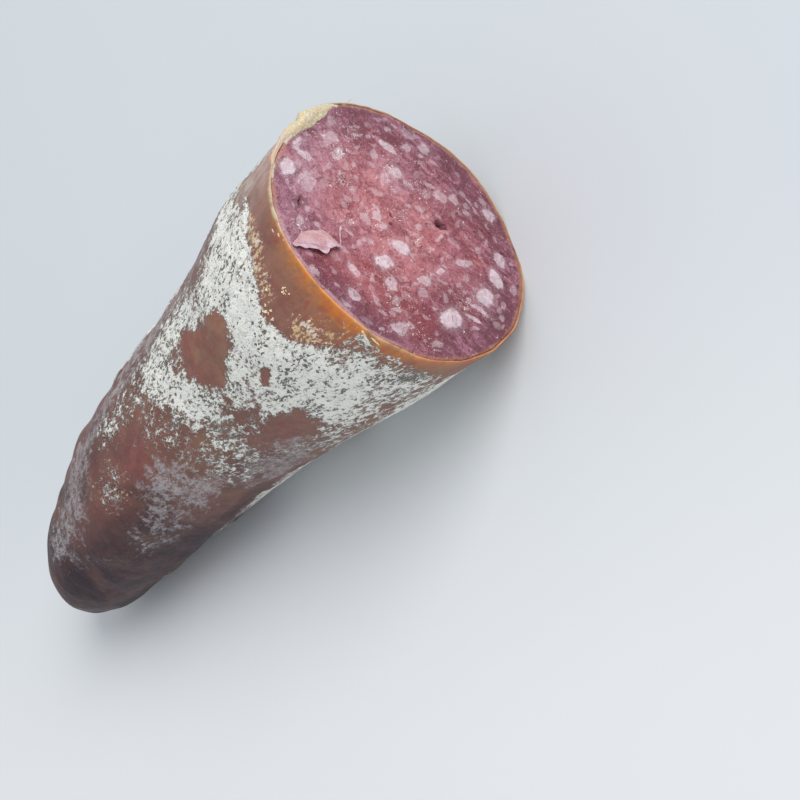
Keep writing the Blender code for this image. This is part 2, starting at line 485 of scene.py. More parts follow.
def sculpt(piece, direction, heights):
    """Moves each vertex by its own height, along its normal or an axis."""
    low, high = float(heights.min()), float(heights.max())
    if high - low > LEAST_MOVE:
        group = piece.vertex_groups.new(name="height")
        for index, share in enumerate((heights - low) / (high - low)):
            group.add([index], share, "REPLACE")
        apply_modifier(piece, "DISPLACE", direction=direction, vertex_group=group.name,
                       strength=high - low, mid_level=0.0)
        piece.vertex_groups.remove(piece.vertex_groups["height"])
    if abs(low) > LEAST_MOVE:
        apply_modifier(piece, "DISPLACE", direction=direction, strength=low, mid_level=0.0)


def noise_at(points, size, seed=0.0, stretch=(1, 1, 1)):
    """Noise from -1 to 1 at each point, with lumps of a size in metres."""
    spots = points * np.array(stretch) / size + seed
    return np.array([noise.noise(Vector(spot)) for spot in spots])


def keep_fields(piece, **fields):
    """Stores numbers for each vertex, which the material reads by their name."""
    for name, values in fields.items():
        field = piece.data.attributes.new(name, "FLOAT", "POINT")
        field.data.foreach_set("value", np.asarray(values, np.float32))


def round_places(points):
    """For each point: distance behind the cut's middle, angle round from +Y, and off the spine."""
    alongs = np.linspace(0, sizes().length, SPINE_SAMPLES)
    line = np.array([spine_point(along) for along in alongs])
    along = CUT_X - points[:, 0]
    side = points[:, 1] - np.interp(along, alongs, line[:, 1])
    up = points[:, 2] - np.interp(along, alongs, line[:, 2])
    return along, np.arctan2(up, side), np.hypot(side, up)


def behind_cut(points):
    """Distance of each point behind the plane of the cut."""
    return (np.array(CUT_MIDDLE) - points) @ np.array(CUT_NORMAL)


def skin_bulge(points, turn):
    """How far the skin stands out: lumpy along the tail, calm at the cut and along the belly."""
    size = sizes()
    calm = 1 - smooth_step(0.75, 1.0, -np.sin(turn))
    own = points - np.array((CUT_X, 0, 0))
    depth = behind_cut(points)
    lumpy = 0.3 + 0.7 * smooth_step(0.004, 0.02, depth)
    dimpled = 0.4 + 0.6 * smooth_step(0.03, 0.09, depth)
    height = size.bulge_height * noise_at(own, size.bulge_spacing) * lumpy
    height += size.dimple_height * noise_at(own, size.dimple_spacing) * dimpled
    near_cut = 1 - smooth_step(0, RIM_SWELL_REACH, depth)
    nicks = RIM_WAVE * (rim_noise(turn, 2.2, 0.5) + 0.4 * rim_noise(turn, 9.0, 2.5))
    return calm * (height + near_cut * (nicks + rim_swell(turn)))


def rim_swell(turn):
    """How far the rim is from round."""
    total = np.zeros_like(turn)
    for angle, width, height in RIM_SWELLS:
        total += height * MM * np.exp(-(turned_by(np.degrees(turn), angle) / width) ** 2)
    return total


def swell_behind(along, degrees):
    """How far the skin stands out at one place, from the swell of the rim."""
    at_rim = rim_swell(np.array([math.radians(degrees)]))[0]
    return at_rim * (1 - smooth_step(0, RIM_SWELL_REACH, along))


def turned_by(degrees, middle):
    """How far an angle is turned from another, from -180 to 180 degrees."""
    return (degrees - middle + 180) % 360 - 180


def rim_noise(turn, lumps, seed):
    """Noise round the rim, the same for the casing and the meat."""
    return np.array([noise.noise(Vector((lumps * math.cos(t), lumps * math.sin(t), seed))) for t in turn])


def wave_rim(piece, turn):
    """Sets the cut forward and back a little round the rim."""
    points = points_of(piece)
    off_middle = np.hypot(*face_places(points)) * MM / sizes().radii[0]
    near = (1 - smooth_step(0, RIM_SET_REACH, behind_cut(points))) * np.clip(off_middle, 0, 1) ** 5
    wave = rim_noise(turn, 3.1, 7.5) + 0.25 * rim_noise(turn, 11.0, 3.5)
    sculpt(piece, "X", RIM_SET * near * wave)


def swell(piece, heights, turn):
    """Moves the vertices straight out from the spine."""
    sculpt(piece, "Y", heights * np.cos(turn))
    sculpt(piece, "Z", heights * np.sin(turn))


def rest_on_floor(piece):
    """Flattens what would sink into the floor."""
    sculpt(piece, "Z", np.maximum(0.0, -points_of(piece)[:, 2]))


def finish_piece(piece, material, slot, *replaced):
    """Smooth shading, material, and the piece's place on the sausage."""
    piece.data.materials.clear()
    piece.data.materials.append(material)
    pick(piece)
    bpy.ops.object.shade_smooth()
    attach(piece, BODY)
    if replaced:
        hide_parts(*replaced)
    return piece


# Casing

CASING_SEGMENTS = 80
CASING_TAIL_RINGS = 12
CASING_BODY_RINGS = 46
CASING_INNER_RINGS = 7
CASING_INNER_TAIL_RINGS = 4
RIM_ROUNDING = 0.00016
WRINKLE_HEIGHT = 0.00006
FRINGE_HEIGHT = 0.00016
AHEAD_OF_CUT = 0.005
SKIN_SAMPLES = 146

# White bloom: distance from the cut (mm), angle from +Y (degrees), half length, half width, density
BLOOM_PATCHES = (
    (21.7, 67, 5, 8, 0.85), (20.7, 88, 7, 9, 1.0), (22.5, 107, 8, 9, 1.0), (21.0, 125, 7, 8, 1.0),
    (19.0, 145, 6, 8, 0.95), (16.5, 158, 7, 7, 0.85), (9.0, 158, 4, 6, 0.7), (10.0, 178, 5, 8, 0.6),
    (30.0, 94, 7, 8, 0.8), (42.0, 87, 7, 7, 0.7), (52.0, 84, 7, 6, 0.55), (36.5, 128, 7, 7, 0.75),
    (48.5, 122, 6, 7, 0.65), (29.0, 150, 7, 8, 0.68), (25.0, 172, 7, 9, 0.62), (14.0, 196, 9, 12, 0.4),
    (49.0, 149, 9, 9, 0.32), (57.5, 161, 8, 8, 0.36), (36.0, 186, 10, 10, 0.42), (78.0, 91, 7, 4, 0.42),
    (87.0, 119, 8, 6, 0.3), (64.0, 118, 9, 9, 0.3), (62.0, 84, 10, 6, 0.4), (13.5, 82, 3, 3, 0.8),
    (4.0, 149, 2.2, 2.6, 0.7), (54.5, 103, 4.5, 4, 0.75), (52.0, 115, 4, 3.5, 0.75), (57.5, 93, 5, 4, 0.6))

# Gaps in the bloom where the skin is bare: distance, angle, half length, half width
BARE_SPOTS = (
    (33.5, 109.5, 4.6, 4.2), (43.2, 102.5, 4.0, 4.2), (39.0, 107, 3.6, 3.6), (39.5, 118, 4.2, 3.2),
    (35.6, 163, 7.5, 3.8), (27.0, 137, 2.0, 1.1))

# Grey haze, red glow and golden flecks, given as the bloom is
HAZE_PATCHES = (
    (70.5, 152, 9, 8, 1.0), (71.8, 139, 7, 4, 0.8), (53.7, 173, 9, 8, 0.9), (42.3, 179, 9, 6, 0.9),
    (88, 160, 9, 7, 0.6), (102, 98, 12, 6, 0.7), (116, 103, 8, 6, 0.7), (96, 84, 20, 6, 0.6),
    (30, 62, 20, 6, 0.55), (60, 70, 25, 6, 0.9), (108, 138, 10, 6, 0.35), (8, 176, 6, 8, 0.5))
GLOW_PATCHES = ((75.7, 121, 7, 6, 1.0), (72.8, 133, 6, 5, 0.9), (60, 104, 8, 5, 0.5), (95, 118, 10, 7, 0.5))
FLECK_PATCHES = (
    (11.9, 88, 2.5, 3, 0.9), (11.5, 95, 2.5, 3, 0.9), (14.0, 102, 2.5, 3, 0.9), (14.5, 110, 3, 3, 0.6),
    (12.5, 134, 3, 3.5, 1.0), (8.5, 140, 4, 4, 0.55), (5.0, 150, 3, 3, 0.6), (87, 119, 7, 6, 0.5))

# Pale crease below the fold, with a painted shadow beside it where the bloom thins: knots with a distance
# (mm) and an angle (degrees)
CREASE = ((12.4, 75), (14.4, 89), (17.0, 95), (19.9, 99), (22.9, 102))
CREASE_WIDTH = 0.0005
CREASE_HEIGHT = 0.0006
CREASE_SHADOW_OFFSET = 0.0009
CREASE_SHADOW_STRENGTH = 0.62
PATCH_WANDER = 0.0016

# Bare amber band behind the rim: its width (mm) at angles round from +Y
BAND_ANGLES = (0, 60, 93, 110, 121, 132, 140, 146, 150, 158, 170, 185, 220, 360)
BAND_WIDTHS = (8, 9, 12.5, 16.0, 18.0, 16.5, 12.5, 6.5, 2.6, 2.4, 2.6, 4, 6, 8)

# The rim by angle: reach of the amber behind the cut (mm), its strength, and that of the cream edge, which is
# partly a painted highlight
RIM_ANGLES = (0, 45, 75, 92, 105, 120, 140, 152, 165, 180, 215, 290, 360)
AMBER_REACH = (0.7, 0.6, 0.7, 0.9, 1.7, 2.7, 3.6, 3.1, 2.6, 1.6, 0.8, 0.6, 0.7)
AMBER_SHARE = (0.38, 0.25, 0.28, 0.50, 0.90, 1.0, 1.0, 1.0, 0.9, 0.7, 0.6, 0.4, 0.38)
CREAM_AND_HIGHLIGHT_SHARE = (0.5, 0.6, 0.7, 1.0, 0.9, 0.35, 0.25, 0.45, 0.40, 0.1, 0.1, 0.4, 0.5)
AMBER_GLOW = 0.16
AMBER_GLOW_REACH = 2.4


def round_distance(degrees, middle, radius):
    """Distance round the skin from a line at an angle."""
    return np.radians(turned_by(degrees, middle)) * radius


def off_patch(along, degrees, radius, patch):
    """Square of the distance from the middle of an oval patch, in its half sizes."""
    at, middle, long, wide = patch[:4]
    return ((along / MM - at) / long) ** 2 + (round_distance(degrees, middle, radius) / MM / wide) ** 2


def patches(along, degrees, radius, places):
    """How much of the patches covers each point, from 0 to 1."""
    bare = np.ones_like(along)
    for patch in places:
        bare *= 1 - patch[4] * np.exp(-off_patch(along, degrees, radius, patch))
    return 1 - bare


def crease_share(along, degrees, radius, beside=0.0):
    """1 on the pale crease that runs down from the fold, or on a line beside it, 0 away from it."""
    ats, angles = zip(*CREASE)
    line = np.interp(along, np.array(ats) * MM, angles)
    off = round_distance(degrees, line, radius) - beside
    ends = smooth_step(0.010, 0.013, along) * (1 - smooth_step(0.022, 0.025, along))
    return np.exp(-(off / CREASE_WIDTH) ** 2) * ends


def bloom_share(points, along, degrees, radius):
    """The white bloom: in its patches and wild where no patch lies, off the bare spots and the band."""
    unseen = 1 - smooth_step(52, 66, degrees) + smooth_step(192, 206, degrees)
    drift = 0.5 + 0.9 * noise_at(points, 0.019, 21.5) + 0.4 * noise_at(points, 0.007, 5.2)
    fade = 1 - 0.7 * smooth_step(0.045, 0.11, along)
    wild = np.clip(1.15 * drift * fade, 0, 1) * unseen
    bloom = np.maximum(patches(along, degrees, radius, BLOOM_PATCHES), wild)
    for spot in BARE_SPOTS:
        bloom *= smooth_step(0.40, 1.50, np.sqrt(off_patch(along, degrees, radius, spot)))
    past_band = along - np.interp(degrees, BAND_ANGLES, BAND_WIDTHS) * MM
    bloom *= smooth_step(-0.0016, 0.0014, past_band)
    return bloom * (1 - smooth_step(0.104, 0.118, along))


def amber_share(degrees, deep):
    """The amber behind the rim, partly the casing's own colour and partly a painted glow of light through it:
    strong close to the cut, with a faint glow farther back.
    """
    reach = np.interp(degrees, RIM_ANGLES, AMBER_REACH) * MM
    strong = (1 - AMBER_GLOW) * np.exp(-((deep / reach) ** 1.3))
    glow = AMBER_GLOW * np.exp(-(deep / reach / AMBER_GLOW_REACH) ** 2)
    return np.interp(degrees, RIM_ANGLES, AMBER_SHARE) * (strong + glow)


def shade_share(along, degrees):
    """The darker tail: partly its own drier colour, partly painted shade below and along the belly."""
    # Painted shade: darker on the lower side and along the belly, away from the light
    below = smooth_step(112, 148, degrees) * (1 - smooth_step(300, 350, degrees))
    belly = smooth_step(155, 200, degrees) * (1 - smooth_step(280, 360, degrees))
    shade = (0.34 + 0.66 * below) * smooth_step(0.060, 0.106, along)
    shade += 0.25 * smooth_step(0.095, 0.125, along) + 0.14 * smooth_step(0.025, 0.06, along)
    shade += 0.45 * belly * smooth_step(0.03, 0.08, along)
    return np.clip(shade, 0, 1)


def casing_fields(piece):
    """Where the bloom, the amber band with its painted glow, the haze, the red glow and the dark tail with
    its painted shade lie.
    """
    points = points_of(piece)
    along, turn, radius = round_places(points)
    degrees = np.degrees(turn) % 360
    depth = behind_cut(points)
    moves = [noise_at(points, 0.006, seed) for seed in (3.1, 7.7, 11.9)]
    moved_along, moved_turn, moved_radius = round_places(points + PATCH_WANDER * np.stack(moves, 1))
    moved_degrees = np.degrees(moved_turn) % 360
    moved = (moved_along, moved_degrees, moved_radius)

    crease = crease_share(along, degrees, radius)
    # A line of thinner bloom beside the crease, painted as the crease's shadow
    crease_shadow = crease_share(along, degrees, radius, -CREASE_SHADOW_OFFSET)
    bloom = np.maximum(bloom_share(points, *moved) * (1 - CREASE_SHADOW_STRENGTH * crease_shadow), crease)
    # Cream line at the rim's very edge: partly pale casing, partly a painted highlight
    cream = np.interp(degrees, RIM_ANGLES, CREAM_AND_HIGHLIGHT_SHARE) * (1 - smooth_step(0.0001, 0.00055, depth))
    tan = np.exp(-((degrees - 60) / 22) ** 2) * (1 - smooth_step(0.014, 0.032, along))
    keep_fields(piece, bloom=bloom, crease=crease, flecks=patches(*moved, FLECK_PATCHES),
                amber=amber_share(degrees, np.maximum(depth, 0)), cream_edge=cream, tan=tan,
                haze=patches(*moved, HAZE_PATCHES),
                glow=patches(along, moved_degrees, moved_radius, GLOW_PATCHES),
                shade=shade_share(along, degrees))
    return bloom


def casing_material():
    tone = colours()
    r = Recipe("dry_casing")
    bloom, haze, amber = r.attribute("bloom"), r.attribute("haze"), r.attribute("amber")
    swirled = r.shifted(r.place, 0.0011, 0.0022)
    frayed = r.shifted(r.scaled((0.55, 1, 1)), 0.0007, 0.0012)
    blotch = r.cloud(0.0085, 1.0)
    patch = r.cloud(0.0042, 2.0, distortion=0.6)
    film = r.cloud(0.0021, 3.0, 0.6)
    lace = r.cloud(0.00075, 3.0, 0.66, where=frayed)
    fine = r.cloud(0.00036, 2.0, 0.6)
    drawn = r.cloud(0.0011, 3.0, 0.6, where=r.scaled((0.14, 1, 1)))
    hair = (0.055 - abs(r.cloud(0.0011, 2.0, where=swirled) - 0.5)).rise(0.0, 0.055)
    hollow = r.cloud(0.00062, 3.0, 0.7, where=frayed)
    pin = r.cell_share(0.0012, where=swirled) * 0.36 - r.cells(0.0012, where=swirled)

    skin = r.mix(blotch.rise(0.42, 0.70) * 0.8, tone.brown, tone.ochre)
    skin = r.mix((patch.rise(0.46, 0.66) * 0.5).most(r.attribute("glow") * 0.6), skin, tone.red)
    skin = r.mix(film.rise(0.35, 0.75) * 0.22 + fine.rise(0.45, 0.7) * 0.12, skin, tone.shade)
    torn = 0.70 + (drawn - 0.5) * 0.8 + (film - 0.5) * 1.8 + (patch - 0.5) * 1.2
    skin = r.mix((r.attribute("tan") * torn).clipped(), skin, tone.tan)
    # Painted shade: darker blotches and the dark tail colour grow with the shade field on the tail and its
    # underside
    dull = r.cloud(0.012, 2.0, distortion=0.8).rise(0.44, 0.60) * (0.14 + r.attribute("shade") * 0.5)
    skin = r.mix(dull, skin, tone.shade)
    skin = r.mix((r.attribute("shade") * (0.80 + (patch - 0.5) * 0.5)).clipped(), skin, tone.shade)
    skin = r.mix(haze * 0.42, skin, tone.shade)
    frost = (0.50 + (lace - 0.5) * 2.2 + (fine - 0.5) * 2.2 + (film - 0.5) * 2.0 + hair * 0.25).clipped()
    wisps = (patch - 0.5) * 1.5 + (film - 0.5) * 1.3 + (lace - 0.5) * 1.2 + hair * 0.12
    misty = (haze * 1.05 + wisps).rise(0.34, 0.92) * haze.rise(0.05, 0.45) * (0.45 + haze * 0.40) * frost
    skin = r.mix(misty.clipped(), skin, tone.haze)
    # The amber rim: the casing's own colour, brightened as a painted glow of light through it
    glowing = r.mix(patch.rise(0.46, 0.60) * (1.15 - amber), tone.amber, tone.ember)
    skin = r.mix((amber * (0.80 + (film - 0.5) * 2.6 + (patch - 0.5) * 1.4)).clipped(), skin, glowing)
    flecks = r.attribute("flecks")
    gold = (flecks * 0.72 + (lace - 0.5) * 2.6 + (fine - 0.5) * 1.2).rise(0.40, 0.84)
    gold = gold * flecks.rise(0.08, 0.35)
    skin = r.mix(gold * 0.9, skin, r.mix(patch.rise(0.42, 0.64) * 0.7, tone.crumb, tone.bloom))
    # The cream line at the rim: partly pale casing, partly a painted highlight along its edge
    skin = r.mix((r.attribute("cream_edge") * (0.85 + (film - 0.5) * 3.5)).clipped(), skin, tone.cream)

    ragged = (patch - 0.5) * 0.8 + (film - 0.5) * 1.5 + (lace - 0.5) * 1.7 + hair * 0.22
    crust = (bloom * 1.30 - 0.11 + ragged).rise(0.38, 0.72) * bloom.rise(0.06, 0.26)
    holes = (0.413 + (patch - 0.5) * 0.60 - hollow).rise(0.0, 0.045)
    pits = holes.most(pin.rise(0.0, 0.13)) * (1 - r.attribute("crease"))
    web = hair * bloom.rise(0.12, 0.38) * film.rise(0.44, 0.56)
    cover = (crust * (1 - pits * 0.92) * (1.14 + (fine - 0.5) * 2.2 + (film - 0.5) * 1.0)).clipped()
    cover = cover.most(web * 0.75)
    thin = (bloom * 0.9 + (patch - 0.5) * 0.9 + (film - 0.5) * 0.8).rise(0.22, 0.85) * 0.34
    under = r.mix(thin, skin, r.mix(0.4, tone.haze, tone.tan))
    # Darker grey in the bloom's pits and where the bloom is thin
    bloom_pit_grey = (crust * (0.22 + pits * 0.70)).most(bloom.rise(0.10, 0.60) * 0.26)
    under = r.mix(bloom_pit_grey, under, tone.pit)
    # Painted shade: the bloom turns towards the grey haze colour where the shade field lies
    base = r.mix(cover, under, r.mix(r.attribute("shade") * 0.5, tone.bloom, tone.haze))

    height = drawn * 0.00014 + film * 0.00026
    height = height + cover * (0.00012 + lace * 0.00034) - pits * crust * 0.00018
    fixed = {**lit_through(0.10, (1.0, 0.45, 0.25), 0.001), "Specular IOR Level": 0.32}
    varying = {"Base Color": base, "Roughness": (0.40 + film * 0.24 + cover * 0.5).least(0.95),
               "Normal": r.bump(height)}
    return r.finish(varying, fixed)


def casing_rings():
    """Rings up the outside of the casing, over its rounded rim and back inside to the tail."""
    rings = rings_to_cut(0.0, CASING_TAIL_RINGS, CASING_BODY_RINGS)
    edge = rings.pop()
    behind = spine_point(RIM_ROUNDING)
    inside = edge.radius - sizes().rim_wall
    rings.append(Ring(behind, edge.radius, edge.tilt))
    rings.append(Ring(edge.middle, edge.radius - RIM_ROUNDING, edge.tilt))
    rings.append(Ring(edge.middle, inside + RIM_ROUNDING, edge.tilt))
    rings.append(Ring(behind, inside, edge.tilt))
    inner = rings_to_cut(sizes().casing_wall, CASING_INNER_TAIL_RINGS, CASING_INNER_RINGS)
    return rings + inner[-2::-1]


def skin_line():
    """Distances from the cut, and the radius halfway through the casing at each."""
    alongs = np.linspace(-AHEAD_OF_CUT, sizes().length, SKIN_SAMPLES)
    middle = [skin_radius(max(0.0, along)) - sizes().casing_wall / 2 for along in alongs]
    return alongs, np.array(middle)


def skin_relief(points, bloom):
    """Fine wrinkles, the thickness of the bloom and the crease, on the outside alone."""
    along, turn, radius = round_places(points)
    wrinkles = noise_at(points, 0.0035, 4.0, (0.4, 1, 1)) * smooth_step(0.001, 0.01, behind_cut(points))
    crust = bloom * (0.6 + noise_at(points, 0.0016, 9.0))
    crease = CREASE_HEIGHT * crease_share(along, np.degrees(turn) % 360, radius)
    outside = radius > np.interp(along, *skin_line())
    return outside * (WRINKLE_HEIGHT * wrinkles + sizes().bloom_thickness * crust + crease)


class SAUSAGE_OT_add_casing(bpy.types.Operator):
    """Add the gut casing: a thin shell, closed round the tail and open at the cut"""
    bl_idname = "sausage.add_casing"
    bl_label = "Casing"
    bl_options = {"REGISTER", "UNDO"}

    def execute(self, context):
        piece = ring_form("casing_skin", casing_rings(), CASING_SEGMENTS)
        subdivide(piece, 2)
        points = points_of(piece)
        turn = round_places(points)[1]
        swell(piece, skin_bulge(points, turn), turn)
        wave_rim(piece, turn)
        bloom = casing_fields(piece)
        points = points_of(piece)
        sculpt(piece, "NORMAL", skin_relief(points, bloom))
        fringe = noise_at(points, 0.004, 2.0) * (1 - smooth_step(0.0003, 0.003, behind_cut(points)))
        sculpt(piece, "X", FRINGE_HEIGHT * fringe)
        rest_on_floor(piece)
        finish_piece(piece, casing_material(), "casing", "casing")
        return {"FINISHED"}


# Meat

MEAT_SEGMENTS = 120
MEAT_TAIL_RINGS = 5
MEAT_BODY_RINGS = 7
FACE_RINGS = 26
EDGE_ROUNDING = 0.00025
EDGE_OVERLAP = 0.00005
EDGE_LENGTH = 0.0015
FACE_DEPTH = 0.001
GRAIN_SEED = 23
KNIFE_TURN = 52

# Largest grains of fat: place to the side and up (mm), half length, half width, turn (degrees), paleness
LARGE_GRAINS = (
    (8.7, 24.0, 2.2, 1.6, 155, 0.95), (14.5, 20.3, 1.9, 0.9, 150, 0.7), (12.1, 19.1, 1.9, 1.1, 75, 0.75),
    (14.2, 11.5, 1.9, 1.2, 145, 0.5), (6.4, 20.1, 2.8, 2.0, 150, 0.35), (18.8, -1.4, 2.5, 0.9, 50, 0.75),
    (13.0, -1.6, 2.0, 1.6, 90, 0.6), (-4.4, 1.9, 2.2, 1.5, 85, 0.9), (-8.2, 6.8, 2.4, 1.5, 105, 1.0),
    (-12.7, 6.6, 1.7, 1.3, 155, 0.6), (-22.1, 7.2, 2.0, 1.5, 105, 0.55), (-18.4, -5.6, 3.2, 2.1, 120, 0.95),
    (-12.3, -15.8, 2.9, 2.1, 125, 0.9), (-15.8, -13.5, 2.7, 0.7, 55, 0.65), (-17.6, -11.3, 2.2, 0.6, 60, 0.6),
    (-7.9, -20.0, 2.2, 1.5, 20, 0.8), (-3.2, -22.5, 2.0, 1.4, 0, 0.65), (7.6, -23.4, 1.9, 1.5, 25, 0.6),
    (-10.8, -1.6, 2.0, 1.1, 105, 0.65), (-8.1, -6.2, 1.4, 0.8, 105, 0.6), (-5.6, -12.7, 2.5, 0.9, 95, 0.55),
    (2.0, 5.7, 1.4, 0.9, 125, 0.5), (0.0, 4.6, 1.4, 0.8, 130, 0.45), (-11.2, 14.3, 1.8, 0.8, 35, 0.55),
    (-16.4, 15.7, 1.5, 1.2, 35, 0.5), (20.5, -10.8, 1.8, 1.4, 130, 0.5), (9.5, -15.0, 1.6, 1.1, 35, 0.5))

# Pits and slits: place, half length, half width, turn, depth (mm)
PITS = (
    (2.7, -9.7, 1.9, 1.15, 60, 1.7), (2.7, 2.3, 0.5, 0.45, 0, 0.7), (1.0, 2.5, 0.75, 0.5, 60, 0.9),
    (-5.0, 17.2, 1.0, 0.45, 110, 1.0), (1.8, 22.8, 2.3, 0.35, 150, 1.0), (3.4, -15.6, 0.4, 0.4, 0, 0.6),
    (3.3, -20.2, 0.9, 0.3, 60, 0.7), (3.0, -22.3, 0.5, 0.35, 30, 0.6), (-5.8, -16.5, 0.6, 0.4, 20, 0.9),
    (-1.4, -24.2, 1.0, 0.35, 60, 0.8), (-8.5, -22.4, 0.8, 0.4, 60, 0.8), (-16.2, 7.2, 0.4, 0.3, 40, 0.6),
    (-21.5, 4.7, 0.45, 0.35, 0, 0.6), (-23.7, 2.9, 0.9, 0.4, 60, 0.8), (-20.8, 12.4, 0.4, 0.3, 0, 0.5),
    (-21.1, 10.3, 0.5, 0.3, 40, 0.5), (11.2, -2.6, 0.4, 0.3, 30, 0.4), (-1.2, -0.3, 0.8, 0.25, 70, 0.5))

# Raised lumps: place, half length, half width, turn, height (mm)
MOUNDS = ((-0.2, -8.2, 2.3, 1.5, 60, 0.6), (-6.0, 21.0, 3.0, 2.0, 80, 0.3), (13.0, 3.5, 2.0, 1.2, 60, 0.35),
          (2.0, 12.0, 2.5, 1.6, 20, 0.3), (11.5, 8.0, 1.8, 1.2, 45, 0.35), (-9.0, 10.5, 2.0, 1.5, 0, 0.3),
          (0.7, -9.3, 1.9, 0.8, 75, 0.7), (-2.5, -2.7, 1.3, 0.6, 60, 0.45), (16.5, 10.5, 2.4, 1.4, 40, 0.35),
          (-13.5, 2.0, 2.2, 1.3, 110, 0.35), (5.0, 17.5, 2.4, 1.6, 10, 0.3), (-4.0, -6.5, 1.8, 1.2, 80, 0.35))

# Darker, paler, redder and glittering fields of the meat: place, reach (mm) and strength; the glittering
# fields carry painted glints besides a wetter gloss and finer relief
DARK_FIELDS = (
    (-3.0, 20.5, 2.4, 0.45), (17.5, 18.0, 3.4, 0.4), (20.0, 5.0, 4.5, 0.75), (22.0, -3.0, 4.0, 0.6),
    (11.0, -17.0, 5.0, 0.6), (6.0, -22.0, 5.0, 0.7), (16.0, -15.0, 4.0, 0.6), (-10.0, 20.0, 4.0, 0.75),
    (-13.5, 19.0, 3.5, 0.8), (-16.5, 5.0, 4.0, 0.75), (-19.0, 1.0, 4.0, 0.8), (-23.5, 1.0, 4.0, 0.9),
    (-14.0, -6.0, 3.2, 0.85), (-16.0, -21.0, 4.0, 0.6), (-20.0, 12.0, 3.5, 0.6), (-12.0, 11.0, 3.5, 0.5),
    (1.5, 12.0, 2.5, 0.4), (-12.0, -22.0, 3.0, 0.5), (11.0, 10.0, 2.2, 0.35), (4.0, -13.5, 3.0, 0.4))
PALE_FIELDS = (
    (14.0, 16.0, 6.0, 0.75), (8.0, 20.0, 5.0, 0.9), (12.0, 1.0, 4.5, 0.8), (-4.5, 24.0, 2.6, 1.0),
    (0.0, 16.0, 3.0, 0.5), (-6.0, 4.0, 5.0, 0.5), (4.0, -8.0, 2.5, 0.4), (-12.5, -14.0, 3.5, 0.3),
    (2.0, 21.0, 3.0, 0.5), (0.6, -9.4, 1.7, 0.9), (-2.5, -2.8, 1.2, 0.7))
RED_FIELDS = (
    (11.5, 23.5, 1.8, 0.9), (5.5, 5.0, 8.0, 0.7), (1.0, -5.5, 6.0, 0.9), (-7.0, 2.5, 8.0, 0.8),
    (4.0, 12.0, 6.0, 0.6), (-13.0, 12.0, 6.0, 0.8), (-4.5, -17.0, 2.0, 0.8), (-10.0, 18.0, 5.0, 0.7),
    (-16.0, 6.0, 6.0, 0.8), (-21.0, 2.0, 5.0, 0.8))
GLITTER_FIELDS = (
    (13.5, -0.6, 2.0, 1.0), (10.7, -7.0, 2.5, 1.0), (8.5, 12.3, 2.5, 1.0), (9.7, 0.3, 1.5, 0.7),
    (3.4, 0.0, 3.0, 0.8), (-0.8, 5.8, 2.0, 0.7), (-2.4, -2.3, 2.5, 0.9), (15.4, 11.4, 2.4, 1.0),
    (21.0, 6.5, 3.0, 0.9), (17.2, 13.4, 2.4, 0.8), (-3.5, 23.5, 2.4, 1.0), (0.6, 13.3, 2.5, 0.5),
    (-16.0, 5.0, 3.5, 0.8), (-22.0, 3.0, 3.0, 0.9), (-13.9, -10.2, 3.0, 0.8), (15.8, -11.1, 2.5, 0.5),
    (-12.0, 8.0, 3.0, 0.5), (3.0, 8.0, 3.0, 0.5))


def face_places(points):
    """Distances to the side and up on the cut face for each point, in mm."""
    own = points - np.array(CUT_MIDDLE)
    return own @ np.array(CUT_SIDE) / MM, own @ np.array(CUT_UP) / MM


def soft_fields(side, up, fields):
    total = np.zeros_like(side)
    for at_side, at_up, reach, strength in fields:
        gone = ((side - at_side) ** 2 + (up - at_up) ** 2) / reach**2
        total = np.maximum(total, strength * np.exp(-gone))
    return total


def oval(side, up, place):
    """1 in the middle of an oval, 0 at its edge, and below 0 outside."""
    at_side, at_up, long, wide, turn = place[:5]
    c, s = math.cos(math.radians(turn)), math.sin(math.radians(turn))
    run = (side - at_side) * c + (up - at_up) * s
    across = (up - at_up) * c - (side - at_side) * s
    return 1 - np.hypot(run / long, across / wide)


def small_grains():
    """Grains of fat scattered over the face, clear of the large ones; those near the rim lie along it."""
    draw = random.Random(GRAIN_SEED)
    usual = sizes().grain_length / MM
    placed = [grain[:3] for grain in LARGE_GRAINS]
    grains = []
    for _ in range(6 * sizes().grain_count):
        reach, round_by = 26.0 * math.sqrt(draw.random()), draw.uniform(0, 2 * math.pi)
        side, up = reach * math.cos(round_by), reach * math.sin(round_by)
        long = usual * draw.uniform(0.45, 1.0) * (1.6 if draw.random() < 0.16 else 1.0)
        if any(math.hypot(side - a, up - b) < 0.75 * (long + other) for a, b, other in placed):
            continue
        near_rim = min(1.0, max(0.0, (reach - 12) / 10))
        turn = math.degrees(round_by) + 90 + draw.uniform(-90, 90) * (1 - 0.8 * near_rim)
        placed.append((side, up, long))
        grains.append((side, up, long, long * draw.uniform(0.4, 0.8), turn, draw.uniform(0.0, 0.42)))
        if len(grains) == sizes().grain_count:
            break
    return grains


